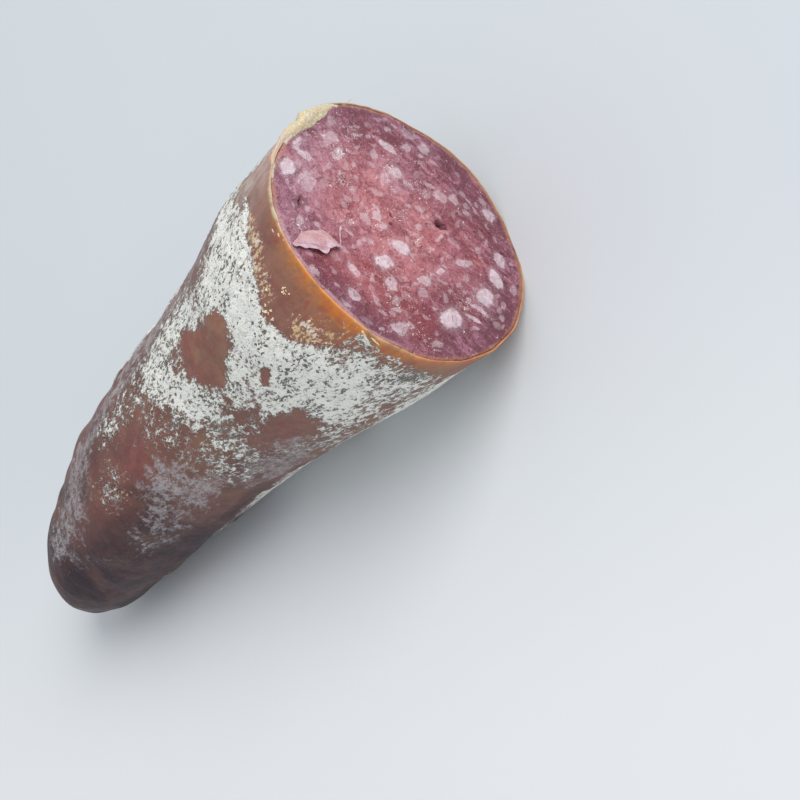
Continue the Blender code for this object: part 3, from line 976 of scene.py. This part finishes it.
def meat_fields(piece):
    """Grains of fat, pits, and the colours of the lean meat, and the relief that they make."""
    points = points_of(piece)
    side, up = face_places(points)
    face = 1 - smooth_step(0.0004, 0.0016, behind_cut(points))
    reach = np.hypot(side, up)
    ragged_side = side + 0.50 * noise_at(points, 0.0023, 1.0) + 0.25 * noise_at(points, 0.0009, 5.0)
    ragged_up = up + 0.50 * noise_at(points, 0.0023, 2.0) + 0.25 * noise_at(points, 0.0009, 6.0)
    fat = np.full(len(points), -1.0)
    pale = np.zeros(len(points))
    for grain in (*LARGE_GRAINS, *small_grains()):
        inside = oval(ragged_side, ragged_up, grain)
        nearer = inside > fat
        fat = np.where(nearer, inside, fat)
        pale = np.where(nearer, grain[5], pale)
    sunk = np.zeros(len(points))
    for pit in PITS:
        deep = smooth_step(0.0, 0.9, oval(ragged_side, ragged_up, pit))
        sunk = np.maximum(sunk, pit[5] * deep)
    raised = np.zeros(len(points))
    for lump in MOUNDS:
        raised = np.maximum(raised, lump[5] * smooth_step(0.0, 0.7, oval(ragged_side, ragged_up, lump)))
    dark = soft_fields(side, up, DARK_FIELDS) + 0.72 * smooth_step(4, 24, -up)
    dark += 0.66 * smooth_step(4, 22, -side) + 0.48 * smooth_step(12, 25, side)
    smear = smooth_step(12, 20, reach) * smooth_step(-0.35, 0.45, -up / np.maximum(reach, 1))
    turn = np.degrees(np.arctan2(up, side)) % 360
    rim = sizes().radii[0] + rim_swell(np.radians(turn))
    near_skin = 1 - smooth_step(0.75, 1.35, rim / MM - reach + 0.5 * noise_at(points, 0.003, 8.0))
    amber_side = smooth_step(84, 100, turn) * (1 - smooth_step(150, 175, turn))
    keep_fields(piece, fat=fat, pale=pale, sunk=np.clip(sunk / 0.8, 0, 1), dark=dark,
                light=soft_fields(side, up, PALE_FIELDS), red=soft_fields(side, up, RED_FIELDS),
                glitter=soft_fields(side, up, GLITTER_FIELDS), outer=smooth_step(16, 26.5, reach),
                smear=smear, pink_edge=near_skin * amber_side, brown_edge=near_skin * (1 - amber_side))
    mound = smooth_step(-0.2, 0.5, fat) * (0.4 + 0.6 * pale)
    rough = noise_at(points, 0.0026, 12.0) * 0.15 + noise_at(points, 0.0012, 13.0) * 0.11
    rough += noise_at(points, 0.0007, 14.0) * 0.07
    drag = noise_at(points, 0.012, 15.0) * 0.22
    inward = 1 - smooth_step(24.5, 26.4, reach)
    return face * ((mound * 0.10 + rough) * (0.35 + 0.65 * inward) + drag * inward + raised - sunk) * MM


def meat_material():
    tone = colours()
    r = Recipe("marbled_meat")
    fat, pale, outer = r.attribute("fat"), r.attribute("pale"), r.attribute("outer")
    glitter, smear = r.attribute("glitter"), r.attribute("smear")
    ragged = r.shifted(r.place, 0.0014, 0.0020)
    torn = r.shifted(r.place, 0.0007, 0.0009)
    lump = r.cell_share(0.0032, ragged, 0.25)
    bit = r.cell_share(0.0013, torn, 0.25)
    streak = r.cloud(0.0009, 3.0, 0.6, where=r.turned_place(KNIFE_TURN, 4.5))
    fibre = r.cloud(0.0008, 4.0, 0.68, where=torn)
    fine = r.cloud(0.00034, 2.0, 0.6)
    crack = abs(r.cloud(0.0021, 3.0, 0.62, where=ragged) - 0.5)
    broad = r.cloud(0.008, 2.0)

    redness = (r.attribute("red") * 0.9 + (broad - 0.35) * 1.0 + 0.25 - outer * 0.45).clipped()
    deep = r.mix(redness, tone.lean_mauve, tone.lean_red)
    light = r.mix(redness, tone.mauve, tone.salmon)
    level = (lump - 0.5) * 0.32 + (bit - 0.5) * 0.34 + (streak - 0.5) * (0.5 + smear * 1.8)
    level = level + (fibre - 0.5) * 0.7 + (fine - 0.5) * 1.2 + 0.54
    level = level + r.attribute("light") * 0.20 - r.attribute("dark") * 0.38
    lean = r.mix(level.rise(-0.05, 1.05), deep, light)
    # Painted shade in the seams between lumps
    lean = r.mix((0.012 - crack).rise(0.0, 0.012) * (0.9 - lump) * 0.8, lean, tone.lean_shade)

    edge = fat + (fibre - 0.5) * 0.5 + (fine - 0.5) * 0.3
    grain = edge.rise(-0.10, 0.26) * (pale * 0.72 + 0.16)
    veil = edge.rise(-0.7, 0.3) * pale * 0.20
    grainy = grain * (0.86 + (fibre - 0.5) * 1.0 + (bit - 0.5) * 0.3)
    base = r.mix(grainy.most(veil).clipped(), lean, tone.fat)
    base = r.mix(r.attribute("light") * (fibre.rise(0.35, 0.65) * 0.16), base, tone.fat)
    # Painted highlights: small white glints over the face, thicker in the glittering fields
    spot = r.cells(0.0011, torn)
    chance = r.cell_share(0.0011, torn)
    painted_glint = (0.16 - spot).rise(0.0, 0.07) * (chance + glitter * 0.4 + (fibre - 0.5) * 0.8).rise(0.82, 0.95)
    curl = r.cloud(0.0008, 3.0, 0.66, where=torn, distortion=1.6)
    painted_glint = painted_glint.most((curl + glitter * 0.09).rise(0.65, 0.73))
    painted_glint = painted_glint.most((fine + (fibre - 0.5) * 0.5).rise(0.62, 0.72) * (glitter * 0.5 + 0.10))
    base = r.mix(painted_glint * 0.8, base, tone.bloom)
    # Painted shade in the pits and pinholes
    pinhole = (0.15 - r.cells(0.0021, torn)).rise(0.0, 0.06) * r.cell_share(0.0021, torn).rise(0.62, 0.72)
    base = r.mix((r.attribute("sunk").clipped() * 0.9).most(pinhole * 0.7), base, tone.lean_shade)
    base = r.mix(r.attribute("pink_edge") * (0.3 + fibre * 0.4), base, r.mix(0.5, tone.fat, tone.salmon))
    base = r.mix(r.attribute("brown_edge") * (0.25 + fibre * 0.4), base, r.mix(0.4, tone.ember, tone.cream))

    height = (fibre * 0.00032 * (1 - grain * 0.6) + fine * (0.00016 + glitter * 0.00012)
              + bit * 0.00026 + grain * 0.00020 + streak * smear * 0.0003)
    fixed = {**lit_through(0.2, (1.0, 0.35, 0.3), 0.0008), "Specular IOR Level": 0.5}
    wet = 0.36 - glitter * 0.12 + grain * 0.12 + (fibre - 0.5) * 0.8
    varying = {"Base Color": base, "Roughness": wet.most(0.18), "Normal": r.bump(height)}
    return r.finish(varying, fixed)


class SAUSAGE_OT_add_meat(bpy.types.Operator):
    """Add the meat that fills the casing, with its marbled cut face"""
    bl_idname = "sausage.add_meat"
    bl_label = "Meat"
    bl_options = {"REGISTER", "UNDO"}

    def execute(self, context):
        inset = sizes().casing_wall + sizes().casing_gap
        rings = rings_to_cut(inset, MEAT_TAIL_RINGS, MEAT_BODY_RINGS)
        edge = rings.pop()
        edge = edge._replace(radius=edge.radius + inset - sizes().rim_wall + EDGE_OVERLAP)
        rings.append(Ring(spine_point(EDGE_LENGTH), edge.radius, edge.tilt))
        rings.append(Ring(spine_point(EDGE_ROUNDING), edge.radius, edge.tilt))
        for i in range(FACE_RINGS):
            radius = (edge.radius - EDGE_ROUNDING) * (1 - i / FACE_RINGS)
            rings.append(Ring(edge.middle, radius, edge.tilt))
        piece = ring_form("sausage_meat", rings, MEAT_SEGMENTS)
        subdivide(piece, 2)
        points = points_of(piece)
        turn, reach = round_places(points)[1:]
        share = np.clip(reach / edge.radius, 0, 1) ** 4
        share = np.where(behind_cut(points) > FACE_DEPTH, 1.0, share)
        swell(piece, skin_bulge(points, turn) * share, turn)
        wave_rim(piece, turn)
        sculpt(piece, "X", meat_fields(piece))
        finish_piece(piece, meat_material(), "meat", "meat")
        return {"FINISHED"}


# Torn flap on the face

# Its tip, its root at the rim and the knots of its two edges: place up and to the side (mm)
FLAP_TIP = (16.2, -6.9)
FLAP_ROOT = (26.6, -8.0)
FLAP_TOP = ((16.8, -6.0), (17.8, -4.9), (18.9, -3.8), (21.4, -4.3), (23.7, -4.9), (25.2, -6.0))
FLAP_BOTTOM = ((17.8, -7.4), (19.2, -7.7), (19.7, -9.1), (21.2, -9.0), (22.6, -8.3), (24.5, -8.4),
               (26.0, -8.4))
FLAP_THICKNESS = 0.0002
FLAP_LIFT = 0.0006
FLAP_WAVE = 0.0003
FLAP_CLEARANCE = 0.0002


def flap_material():
    tone = colours()
    r = Recipe("torn_meat")
    fibre = r.cloud(0.0009, 3.0, 0.6, where=r.scaled((1, 1, 0.4)))
    speck = r.cloud(0.0004, 2.0)
    base = r.mix(fibre.rise(0.40, 0.62) * 0.6 + 0.15, tone.mauve, tone.fat)
    # The lighter upper part: partly its own peach colour, partly painted light
    base = r.mix(r.attribute("upper") * 0.7, base, r.mix(0.5, tone.salmon, tone.tan))
    # Painted highlight along the flap's edges
    base = r.mix(r.attribute("edge") * 0.2, base, tone.fat)
    base = r.mix(speck.rise(0.45, 0.8) * 0.3 + 0.08, base, tone.lean_red)
    fixed = lit_through(0.12, (1.0, 0.6, 0.55), 0.0006)
    varying = {"Base Color": base, "Roughness": 0.34 + fibre * 0.2,
               "Normal": r.bump(fibre * 0.00030 + speck * 0.00010)}
    return r.finish(varying, fixed)


def flap_edge(ups, knots):
    """Places to the side along an edge of the flap, from its tip through the knots to its root."""
    return np.interp(ups, *zip(FLAP_TIP, *knots, FLAP_ROOT))


class SAUSAGE_OT_add_flap(bpy.types.Operator):
    """Add the torn flap of meat that the knife left on the face"""
    bl_idname = "sausage.add_flap"
    bl_label = "Torn flap"
    bl_options = {"REGISTER", "UNDO"}

    def execute(self, context):
        deselect_all()
        bpy.ops.mesh.primitive_grid_add(x_subdivisions=28, y_subdivisions=12, size=1,
                                        location=(0, 0, 0))
        piece = context.object
        piece.name = piece.data.name = "torn_flap"
        points = points_of(piece)
        ups = FLAP_TIP[0] + (FLAP_ROOT[0] - FLAP_TIP[0]) * (0.5 - points[:, 0])
        top, bottom = flap_edge(ups, FLAP_TOP), flap_edge(ups, FLAP_BOTTOM)
        share = points[:, 1] + 0.5
        nicks = 0.7 * noise_at(np.stack([ups, 4 * share, 0 * ups], 1) * MM, 0.0013, 8.0)
        nicks *= (2 * share - 1) ** 2 * smooth_step(16.5, 18, ups)
        sides = bottom + (top - bottom) * share + nicks
        sculpt(piece, "X", -ups * MM - points[:, 0])
        sculpt(piece, "Y", sides * MM - points[:, 1])
        loose = smooth_step(26.0, 21.0, ups)
        lift = FLAP_LIFT * (0.25 + 0.75 * loose) * (0.25 + 0.75 * (1 - share) ** 2)
        lift += FLAP_WAVE * noise_at(points_of(piece), 0.0024, 4.0) * loose
        sculpt(piece, "Z", np.maximum(lift, 0))
        # The edge field marks where a painted highlight runs along the flap's edges; the upper field marks
        # its lighter upper part, partly painted light
        edge = np.maximum(smooth_step(0.88, 1.0, share), smooth_step(0.10, 0.0, share))
        keep_fields(piece, upper=smooth_step(0.25, 0.6, share), edge=edge)
        apply_modifier(piece, "SOLIDIFY", thickness=FLAP_THICKNESS, offset=-1.0)
        subdivide(piece, 1)
        place = Matrix((-CUT_UP, CUT_SIDE, CUT_NORMAL)).transposed().to_4x4()
        place.translation = face_point(0, 0, FLAP_CLEARANCE)
        piece.matrix_world = place
        pick(piece)
        apply_place()
        finish_piece(piece, flap_material(), "meat")
        return {"FINISHED"}


# Folded casing at the rim

FOLD_POINTS = 34

# Strands of the fold: knots with an angle (degrees), distance inside the rim and half thickness (mm)
FOLD_STRANDS = (
    ((11, 0.2, 0.2), (18, 0.45, 0.6), (24, 0.5, 0.95), (30, 0.65, 1.1), (37, 0.8, 1.5), (43, 0.7, 1.3),
     (49, 0.4, 0.95), (56, 0.1, 0.6), (66, -0.1, 0.4), (78, 0.0, 0.2)),
    ((22, 1.5, 0.2), (30, 1.8, 0.55), (38, 2.0, 0.65), (45, 1.7, 0.5), (52, 1.2, 0.2)),
    ((46, 1.3, 0.25), (56, 0.95, 0.32), (68, 0.7, 0.28), (84, 0.45, 0.15)))
FOLD_VOXEL = 0.00022
FOLD_LIFT = 0.0002


def fold_material():
    tone = colours()
    r = Recipe("folded_casing")
    soft = r.cloud(0.0016, 3.0, 0.6)
    fine = r.cloud(0.0005, 2.0, 0.6)
    base = r.mix(soft.rise(0.45, 0.7) * 0.5, tone.cream, tone.crumb)
    base = r.mix(fine.rise(0.50, 0.66) * 0.38, base, tone.bloom)
    base = r.mix((0.44 - soft).rise(0.0, 0.12) * 0.45, base, tone.tan)
    base = r.mix(r.attribute("layer") * 0.65, base, tone.tan)
    base = r.mix(r.attribute("outer_side") * (0.35 + soft * 0.4), base, tone.amber)
    fixed = lit_through(0.35, (1.0, 0.7, 0.4), 0.0015)
    varying = {"Base Color": base, "Roughness": 0.5 + fine * 0.3,
               "Normal": r.bump(soft * 0.0004 + fine * 0.0002)}
    return r.finish(varying, fixed)


def strand(name, points, radii):
    """A round strand through the points, as a mesh."""
    curve = bpy.data.curves.new(name, "CURVE")
    curve.dimensions = "3D"
    curve.bevel_depth = 1.0
    curve.bevel_resolution = 3
    curve.use_fill_caps = True
    spline = curve.splines.new("POLY")
    spline.points.add(len(points) - 1)
    for knot, point, radius in zip(spline.points, points, radii):
        knot.co = (*point, 1)
        knot.radius = radius
    tube = bpy.data.objects.new(name, curve)
    bpy.context.scene.collection.objects.link(tube)
    pick(tube)
    bpy.ops.object.convert(target="MESH")
    return bpy.context.object


def fold_strand(number, knots):
    """One lumpy strand of the fold, along the rim."""
    angles, insides, halves = zip(*knots)
    points, radii = [], []
    for angle in np.linspace(angles[0], angles[-1], FOLD_POINTS):
        turn = math.radians(angle)
        wave = noise.noise(Vector((0.12 * angle, number, 0.5)))
        inside = (np.interp(angle, angles, insides) + 0.25 * wave) * MM
        reach = sizes().radii[0] + swell_behind(0, angle) - inside
        lift = FOLD_LIFT * (noise.noise(Vector((0.15 * angle, number, 4.5))) - 1)
        points.append(face_point(reach * math.cos(turn), reach * math.sin(turn), lift))
        lump = 1 + 0.30 * noise.noise(Vector((0.2 * angle, 2.5 * number, 9.5)))
        radii.append(np.interp(angle, angles, halves) * lump * MM)
    return strand(f"strand_{number}", points, radii)


def join(pieces, name):
    pick(*pieces)
    bpy.ops.object.join()
    piece = bpy.context.object
    piece.name = piece.data.name = name
    return piece


class SAUSAGE_OT_add_fold(bpy.types.Operator):
    """Add the lumpy fold of dry casing along the upper rim"""
    bl_idname = "sausage.add_fold"
    bl_label = "Folded casing"
    bl_options = {"REGISTER", "UNDO"}

    def execute(self, context):
        strands = [fold_strand(number, knots) for number, knots in enumerate(FOLD_STRANDS)]
        piece = join(strands, "folded_casing")
        apply_modifier(piece, "REMESH", mode="VOXEL", voxel_size=FOLD_VOXEL)
        apply_modifier(piece, "SMOOTH", factor=0.5, iterations=6)
        points = points_of(piece)
        heights = 0.00020 * noise_at(points, 0.0022, 3.0) + 0.00014 * noise_at(points, 0.0007, 6.0)
        sculpt(piece, "NORMAL", heights)
        side, up = face_places(points_of(piece))
        angle = np.degrees(np.arctan2(up, side))
        outer_side = smooth_step(28.0, 28.9, np.hypot(side, up)) * smooth_step(30, 50, angle)
        keep_fields(piece, layer=smooth_step(46, 60, angle), outer_side=outer_side)
        finish_piece(piece, fold_material(), "casing")
        return {"FINISHED"}


# Crumbs and flakes on the skin

CRUMB_SEED = 5
CRUMBS_IN_PLACE = 14
CRUMB_RADII = (0.00012, 0.00034)
CRUMB_ANGLES = (88, 146)
CRUMB_MARGIN = 0.001

# Where crumbs gather: distance from the cut (mm), angle (degrees)
CRUMB_PLACES = ((10.6, 118), (17.1, 119), (11.1, 133), (12.7, 139), (13.6, 101), (14.0, 134), (10.7, 96))


def crumb_material():
    tone = colours()
    r = Recipe("dry_crumbs")
    grain = r.cloud(0.0005, 2.0, 0.6)
    base = r.mix(grain.rise(0.4, 0.7), tone.crumb, tone.bloom)
    varying = {"Base Color": base, "Roughness": 0.6 + grain * 0.3, "Normal": r.bump(grain * 0.00008)}
    return r.finish(varying, lit_through(0.2, (1.0, 0.6, 0.3), 0.0008))


def skin_place(along, degrees, lift, turn):
    """A place on the skin, its Z pointing out and its X turned away from the tail."""
    turned = math.radians(degrees)
    out = Vector((0, math.cos(turned), math.sin(turned)))
    ahead = Vector((math.cos(turn), 0, 0)) + math.sin(turn) * out.cross(Vector((1, 0, 0)))
    place = Matrix((ahead, out.cross(ahead), out)).transposed().to_4x4()
    place.translation = skin_point(along, degrees, lift)
    return place


def speck(place, scale, radius, subdivisions):
    """A ball at a place on the skin, flattened by its scale."""
    deselect_all()
    bpy.ops.mesh.primitive_ico_sphere_add(subdivisions=subdivisions, radius=radius)
    ball = bpy.context.object
    ball.matrix_world = place
    ball.scale = scale
    apply_place()
    return ball


class SAUSAGE_OT_add_crumbs(bpy.types.Operator):
    """Add the small dry crumbs where the bloom meets the amber band"""
    bl_idname = "sausage.add_crumbs"
    bl_label = "Crumbs"
    bl_options = {"REGISTER", "UNDO"}

    def execute(self, context):
        draw = random.Random(CRUMB_SEED)
        crumbs = []
        for number in range(sizes().crumb_count):
            if number < CRUMBS_IN_PLACE * len(CRUMB_PLACES):
                at, angle = CRUMB_PLACES[number % len(CRUMB_PLACES)]
                along = at * MM + draw.gauss(0, 0.0006)
                degrees = angle + draw.gauss(0, 1.2)
            else:
                degrees = draw.uniform(*CRUMB_ANGLES)
                along = np.interp(degrees, BAND_ANGLES, BAND_WIDTHS) * MM + draw.gauss(-0.0004, 0.0009)
            size = draw.uniform(*CRUMB_RADII)
            lift = swell_behind(along, degrees)
            place = skin_place(max(CRUMB_MARGIN, along), degrees, lift, draw.uniform(0, math.pi))
            scale = (draw.uniform(0.7, 1.6), draw.uniform(0.6, 1.1), draw.uniform(0.5, 0.8))
            crumbs.append(speck(place, scale, size, 3))
        piece = join(crumbs, "dry_crumbs")
        points = points_of(piece)
        sculpt(piece, "NORMAL", 0.00024 * noise_at(points, 0.00035, 2.0))
        finish_piece(piece, crumb_material(), "casing")
        return {"FINISHED"}


# Flakes on the rim: distance from the cut (mm), angle, half length, half width, turn (mm and degrees)
FLAKES = (
    (1.5, 97.0, 1.2, 0.34, 62), (0.9, 99.5, 1.3, 0.3, 78), (0.5, 102.5, 1.1, 0.25, 84),
    (1.1, 148.5, 1.3, 0.24, 66), (0.7, 152.5, 1.1, 0.20, 84))
FLAKE_THICKNESS = 0.00012
FLAKE_LIFT = 0.4


class SAUSAGE_OT_add_flakes(bpy.types.Operator):
    """Add the torn pale flakes along the rim of the casing"""
    bl_idname = "sausage.add_flakes"
    bl_label = "Rim flakes"
    bl_options = {"REGISTER", "UNDO"}

    def execute(self, context):
        flakes = []
        for at, angle, long, wide, turn in FLAKES:
            ahead = skin_radius(0) * math.sin(math.radians(angle)) * math.tan(CUT_TILT)
            lift = swell_behind(at * MM, angle) + FLAKE_THICKNESS * FLAKE_LIFT
            place = skin_place(at * MM + ahead, angle, lift, math.radians(turn))
            flakes.append(speck(place, (long * MM, wide * MM, FLAKE_THICKNESS), 1.0, 4))
        piece = join(flakes, "rim_flakes")
        points = points_of(piece)
        heights = 0.00010 * noise_at(points, 0.0009, 2.0) + 0.00006 * noise_at(points, 0.0004, 5.0)
        sculpt(piece, "NORMAL", heights)
        finish_piece(piece, crumb_material(), "casing")
        return {"FINISHED"}


# Loose fibres at the face: knots with a place to the side and up, a height, and a half thickness (mm)
THREAD = ((-2.6, 15.6, 0.7, 0.10), (-3.1, 15.7, 0.8, 0.24), (-3.6, 15.9, 0.6, 0.16),
          (-4.8, 16.1, 0.5, 0.13), (-5.8, 16.1, 0.4, 0.15), (-6.5, 16.3, 0.2, 0.12))
WHISKER = ((27.4, 5.8, 0.0, 0.16), (27.8, 5.7, 0.1, 0.13), (28.2, 5.2, 0.3, 0.10), (28.6, 4.6, 0.4, 0.05))


def thread_on_face(name, knots):
    """A round thread over the face through its knots."""
    points = [face_point(side * MM, up * MM, lift * MM) for side, up, lift, half in knots]
    return strand(name, points, [half * MM for side, up, lift, half in knots])


class SAUSAGE_OT_add_fibres(bpy.types.Operator):
    """Add the loose fibres: a whisker of casing at the rim, and a pale thread of meat on the face"""
    bl_idname = "sausage.add_fibres"
    bl_label = "Fibres"
    bl_options = {"REGISTER", "UNDO"}

    def execute(self, context):
        whisker = thread_on_face("casing_whisker", WHISKER)
        subdivide(whisker, 1)
        finish_piece(whisker, fold_material(), "casing")
        piece = thread_on_face("meat_thread", THREAD)
        subdivide(piece, 2)
        sculpt(piece, "NORMAL", 0.00006 * noise_at(points_of(piece), 0.0005, 3.0))
        finish_piece(piece, flap_material(), "meat")
        return {"FINISHED"}


# Stage

FLOOR_SIZE = 4.0
FLOOR_FALL = (0.25, 1.0, 0.0)
CAMERA_PLACE = (0.2052, -0.1322, 0.2046)
CAMERA_RIGHT = Vector((0.67848, -0.22609, -0.69896))
CAMERA_UP = Vector((0.44135, 0.88606, 0.14181))
CAMERA_LENS = 63
KEY_DIRECTION = Vector((0.73, 0.21, 0.65))
KEY_DISTANCE = 2.4
KEY_SIZE = 1.8
KEY_POWER = 42.0
SKY_STRENGTH = 0.66


def floor_material():
    r = Recipe("pale_floor")
    grain = r.cloud(0.05, 2.0)
    # Painted light fall-off: the floor is paler near the camera and darker beyond the sausage
    far = r.value("ShaderNodeVectorMath", {"operation": "DOT_PRODUCT"}, {0: r.place, 1: FLOOR_FALL}, "Value")
    share = (far.rise(-0.09, 0.03) + (grain - 0.5) * 0.2).clipped()
    base = r.mix(share, colours().floor, colours().far_floor_shade)
    return r.finish({"Base Color": base, "Roughness": 0.55 + grain * 0.1}, {"Specular IOR Level": 0.3})


class SAUSAGE_OT_set_stage(bpy.types.Operator):
    """Set the pale floor, the soft studio light and the camera"""
    bl_idname = "sausage.set_stage"
    bl_label = "Stage"
    bl_options = {"REGISTER", "UNDO"}

    def execute(self, context):
        deselect_all()
        bpy.ops.mesh.primitive_plane_add(size=FLOOR_SIZE, location=(0, 0, 0))
        floor = context.object
        floor.name = "floor"
        floor.data.materials.append(floor_material())

        key = bpy.data.lights.new("key", "AREA")
        key.shape = "DISK"
        key.size = KEY_SIZE
        key.energy = KEY_POWER
        lamp = bpy.data.objects.new("key", key)
        context.scene.collection.objects.link(lamp)
        lamp.location = CUT_MIDDLE + KEY_DIRECTION.normalized() * KEY_DISTANCE
        lamp.rotation_euler = KEY_DIRECTION.to_track_quat("Z", "Y").to_euler()

        world = bpy.data.worlds.new("soft_sky")
        world.use_nodes = True
        sky = world.node_tree.nodes["Background"]
        sky.inputs["Color"].default_value = (*colours().sky, 1)
        sky.inputs["Strength"].default_value = SKY_STRENGTH
        context.scene.world = world

        eye = bpy.data.cameras.new("camera")
        eye.lens = CAMERA_LENS
        eye.clip_start = 0.01
        camera = bpy.data.objects.new("camera", eye)
        context.scene.collection.objects.link(camera)
        right = CAMERA_RIGHT.normalized()
        back = right.cross(CAMERA_UP).normalized()
        turned = Matrix((right, back.cross(right), back)).transposed().to_4x4()
        turned.translation = CAMERA_PLACE
        camera.matrix_world = turned
        context.scene.camera = camera
        context.scene.view_settings.view_transform = "Standard"
        return {"FINISHED"}


class SAUSAGE_PT_panel(bpy.types.Panel):
    """Sizes and colours of the sausage, and a button for each piece"""
    bl_label = "Cured Sausage"
    bl_space_type = "VIEW_3D"
    bl_region_type = "UI"
    bl_category = "Sausage"

    def draw(self, context):
        for operator in OPERATORS:
            self.layout.operator(operator.bl_idname)
        for group in (context.scene.sausage_sizes, context.scene.sausage_colours):
            box = self.layout.box()
            for name in group.bl_rna.properties.keys():
                if name not in ("rna_type", "name"):
                    box.prop(group, name)


OPERATORS = (SAUSAGE_OT_set_stage, SAUSAGE_OT_add_casing, SAUSAGE_OT_add_meat, SAUSAGE_OT_add_flap,
             SAUSAGE_OT_add_fold, SAUSAGE_OT_add_flakes, SAUSAGE_OT_add_crumbs, SAUSAGE_OT_add_fibres)
GROUPS = (SausageSizes, SausageColours)


def register():
    for each in (*GROUPS, *OPERATORS, SAUSAGE_PT_panel):
        bpy.utils.register_class(each)
    bpy.types.Scene.sausage_sizes = PointerProperty(type=SausageSizes)
    bpy.types.Scene.sausage_colours = PointerProperty(type=SausageColours)


def unregister():
    del bpy.types.Scene.sausage_colours
    del bpy.types.Scene.sausage_sizes
    for each in reversed((*GROUPS, *OPERATORS, SAUSAGE_PT_panel)):
        bpy.utils.unregister_class(each)


def main():
    register()
    bpy.ops.sausage.set_stage()
    bpy.ops.sausage.add_casing()
    bpy.ops.sausage.add_meat()
    bpy.ops.sausage.add_flap()
    bpy.ops.sausage.add_fold()
    bpy.ops.sausage.add_flakes()
    bpy.ops.sausage.add_crumbs()
    bpy.ops.sausage.add_fibres()


if __name__ == "__main__":
    main()
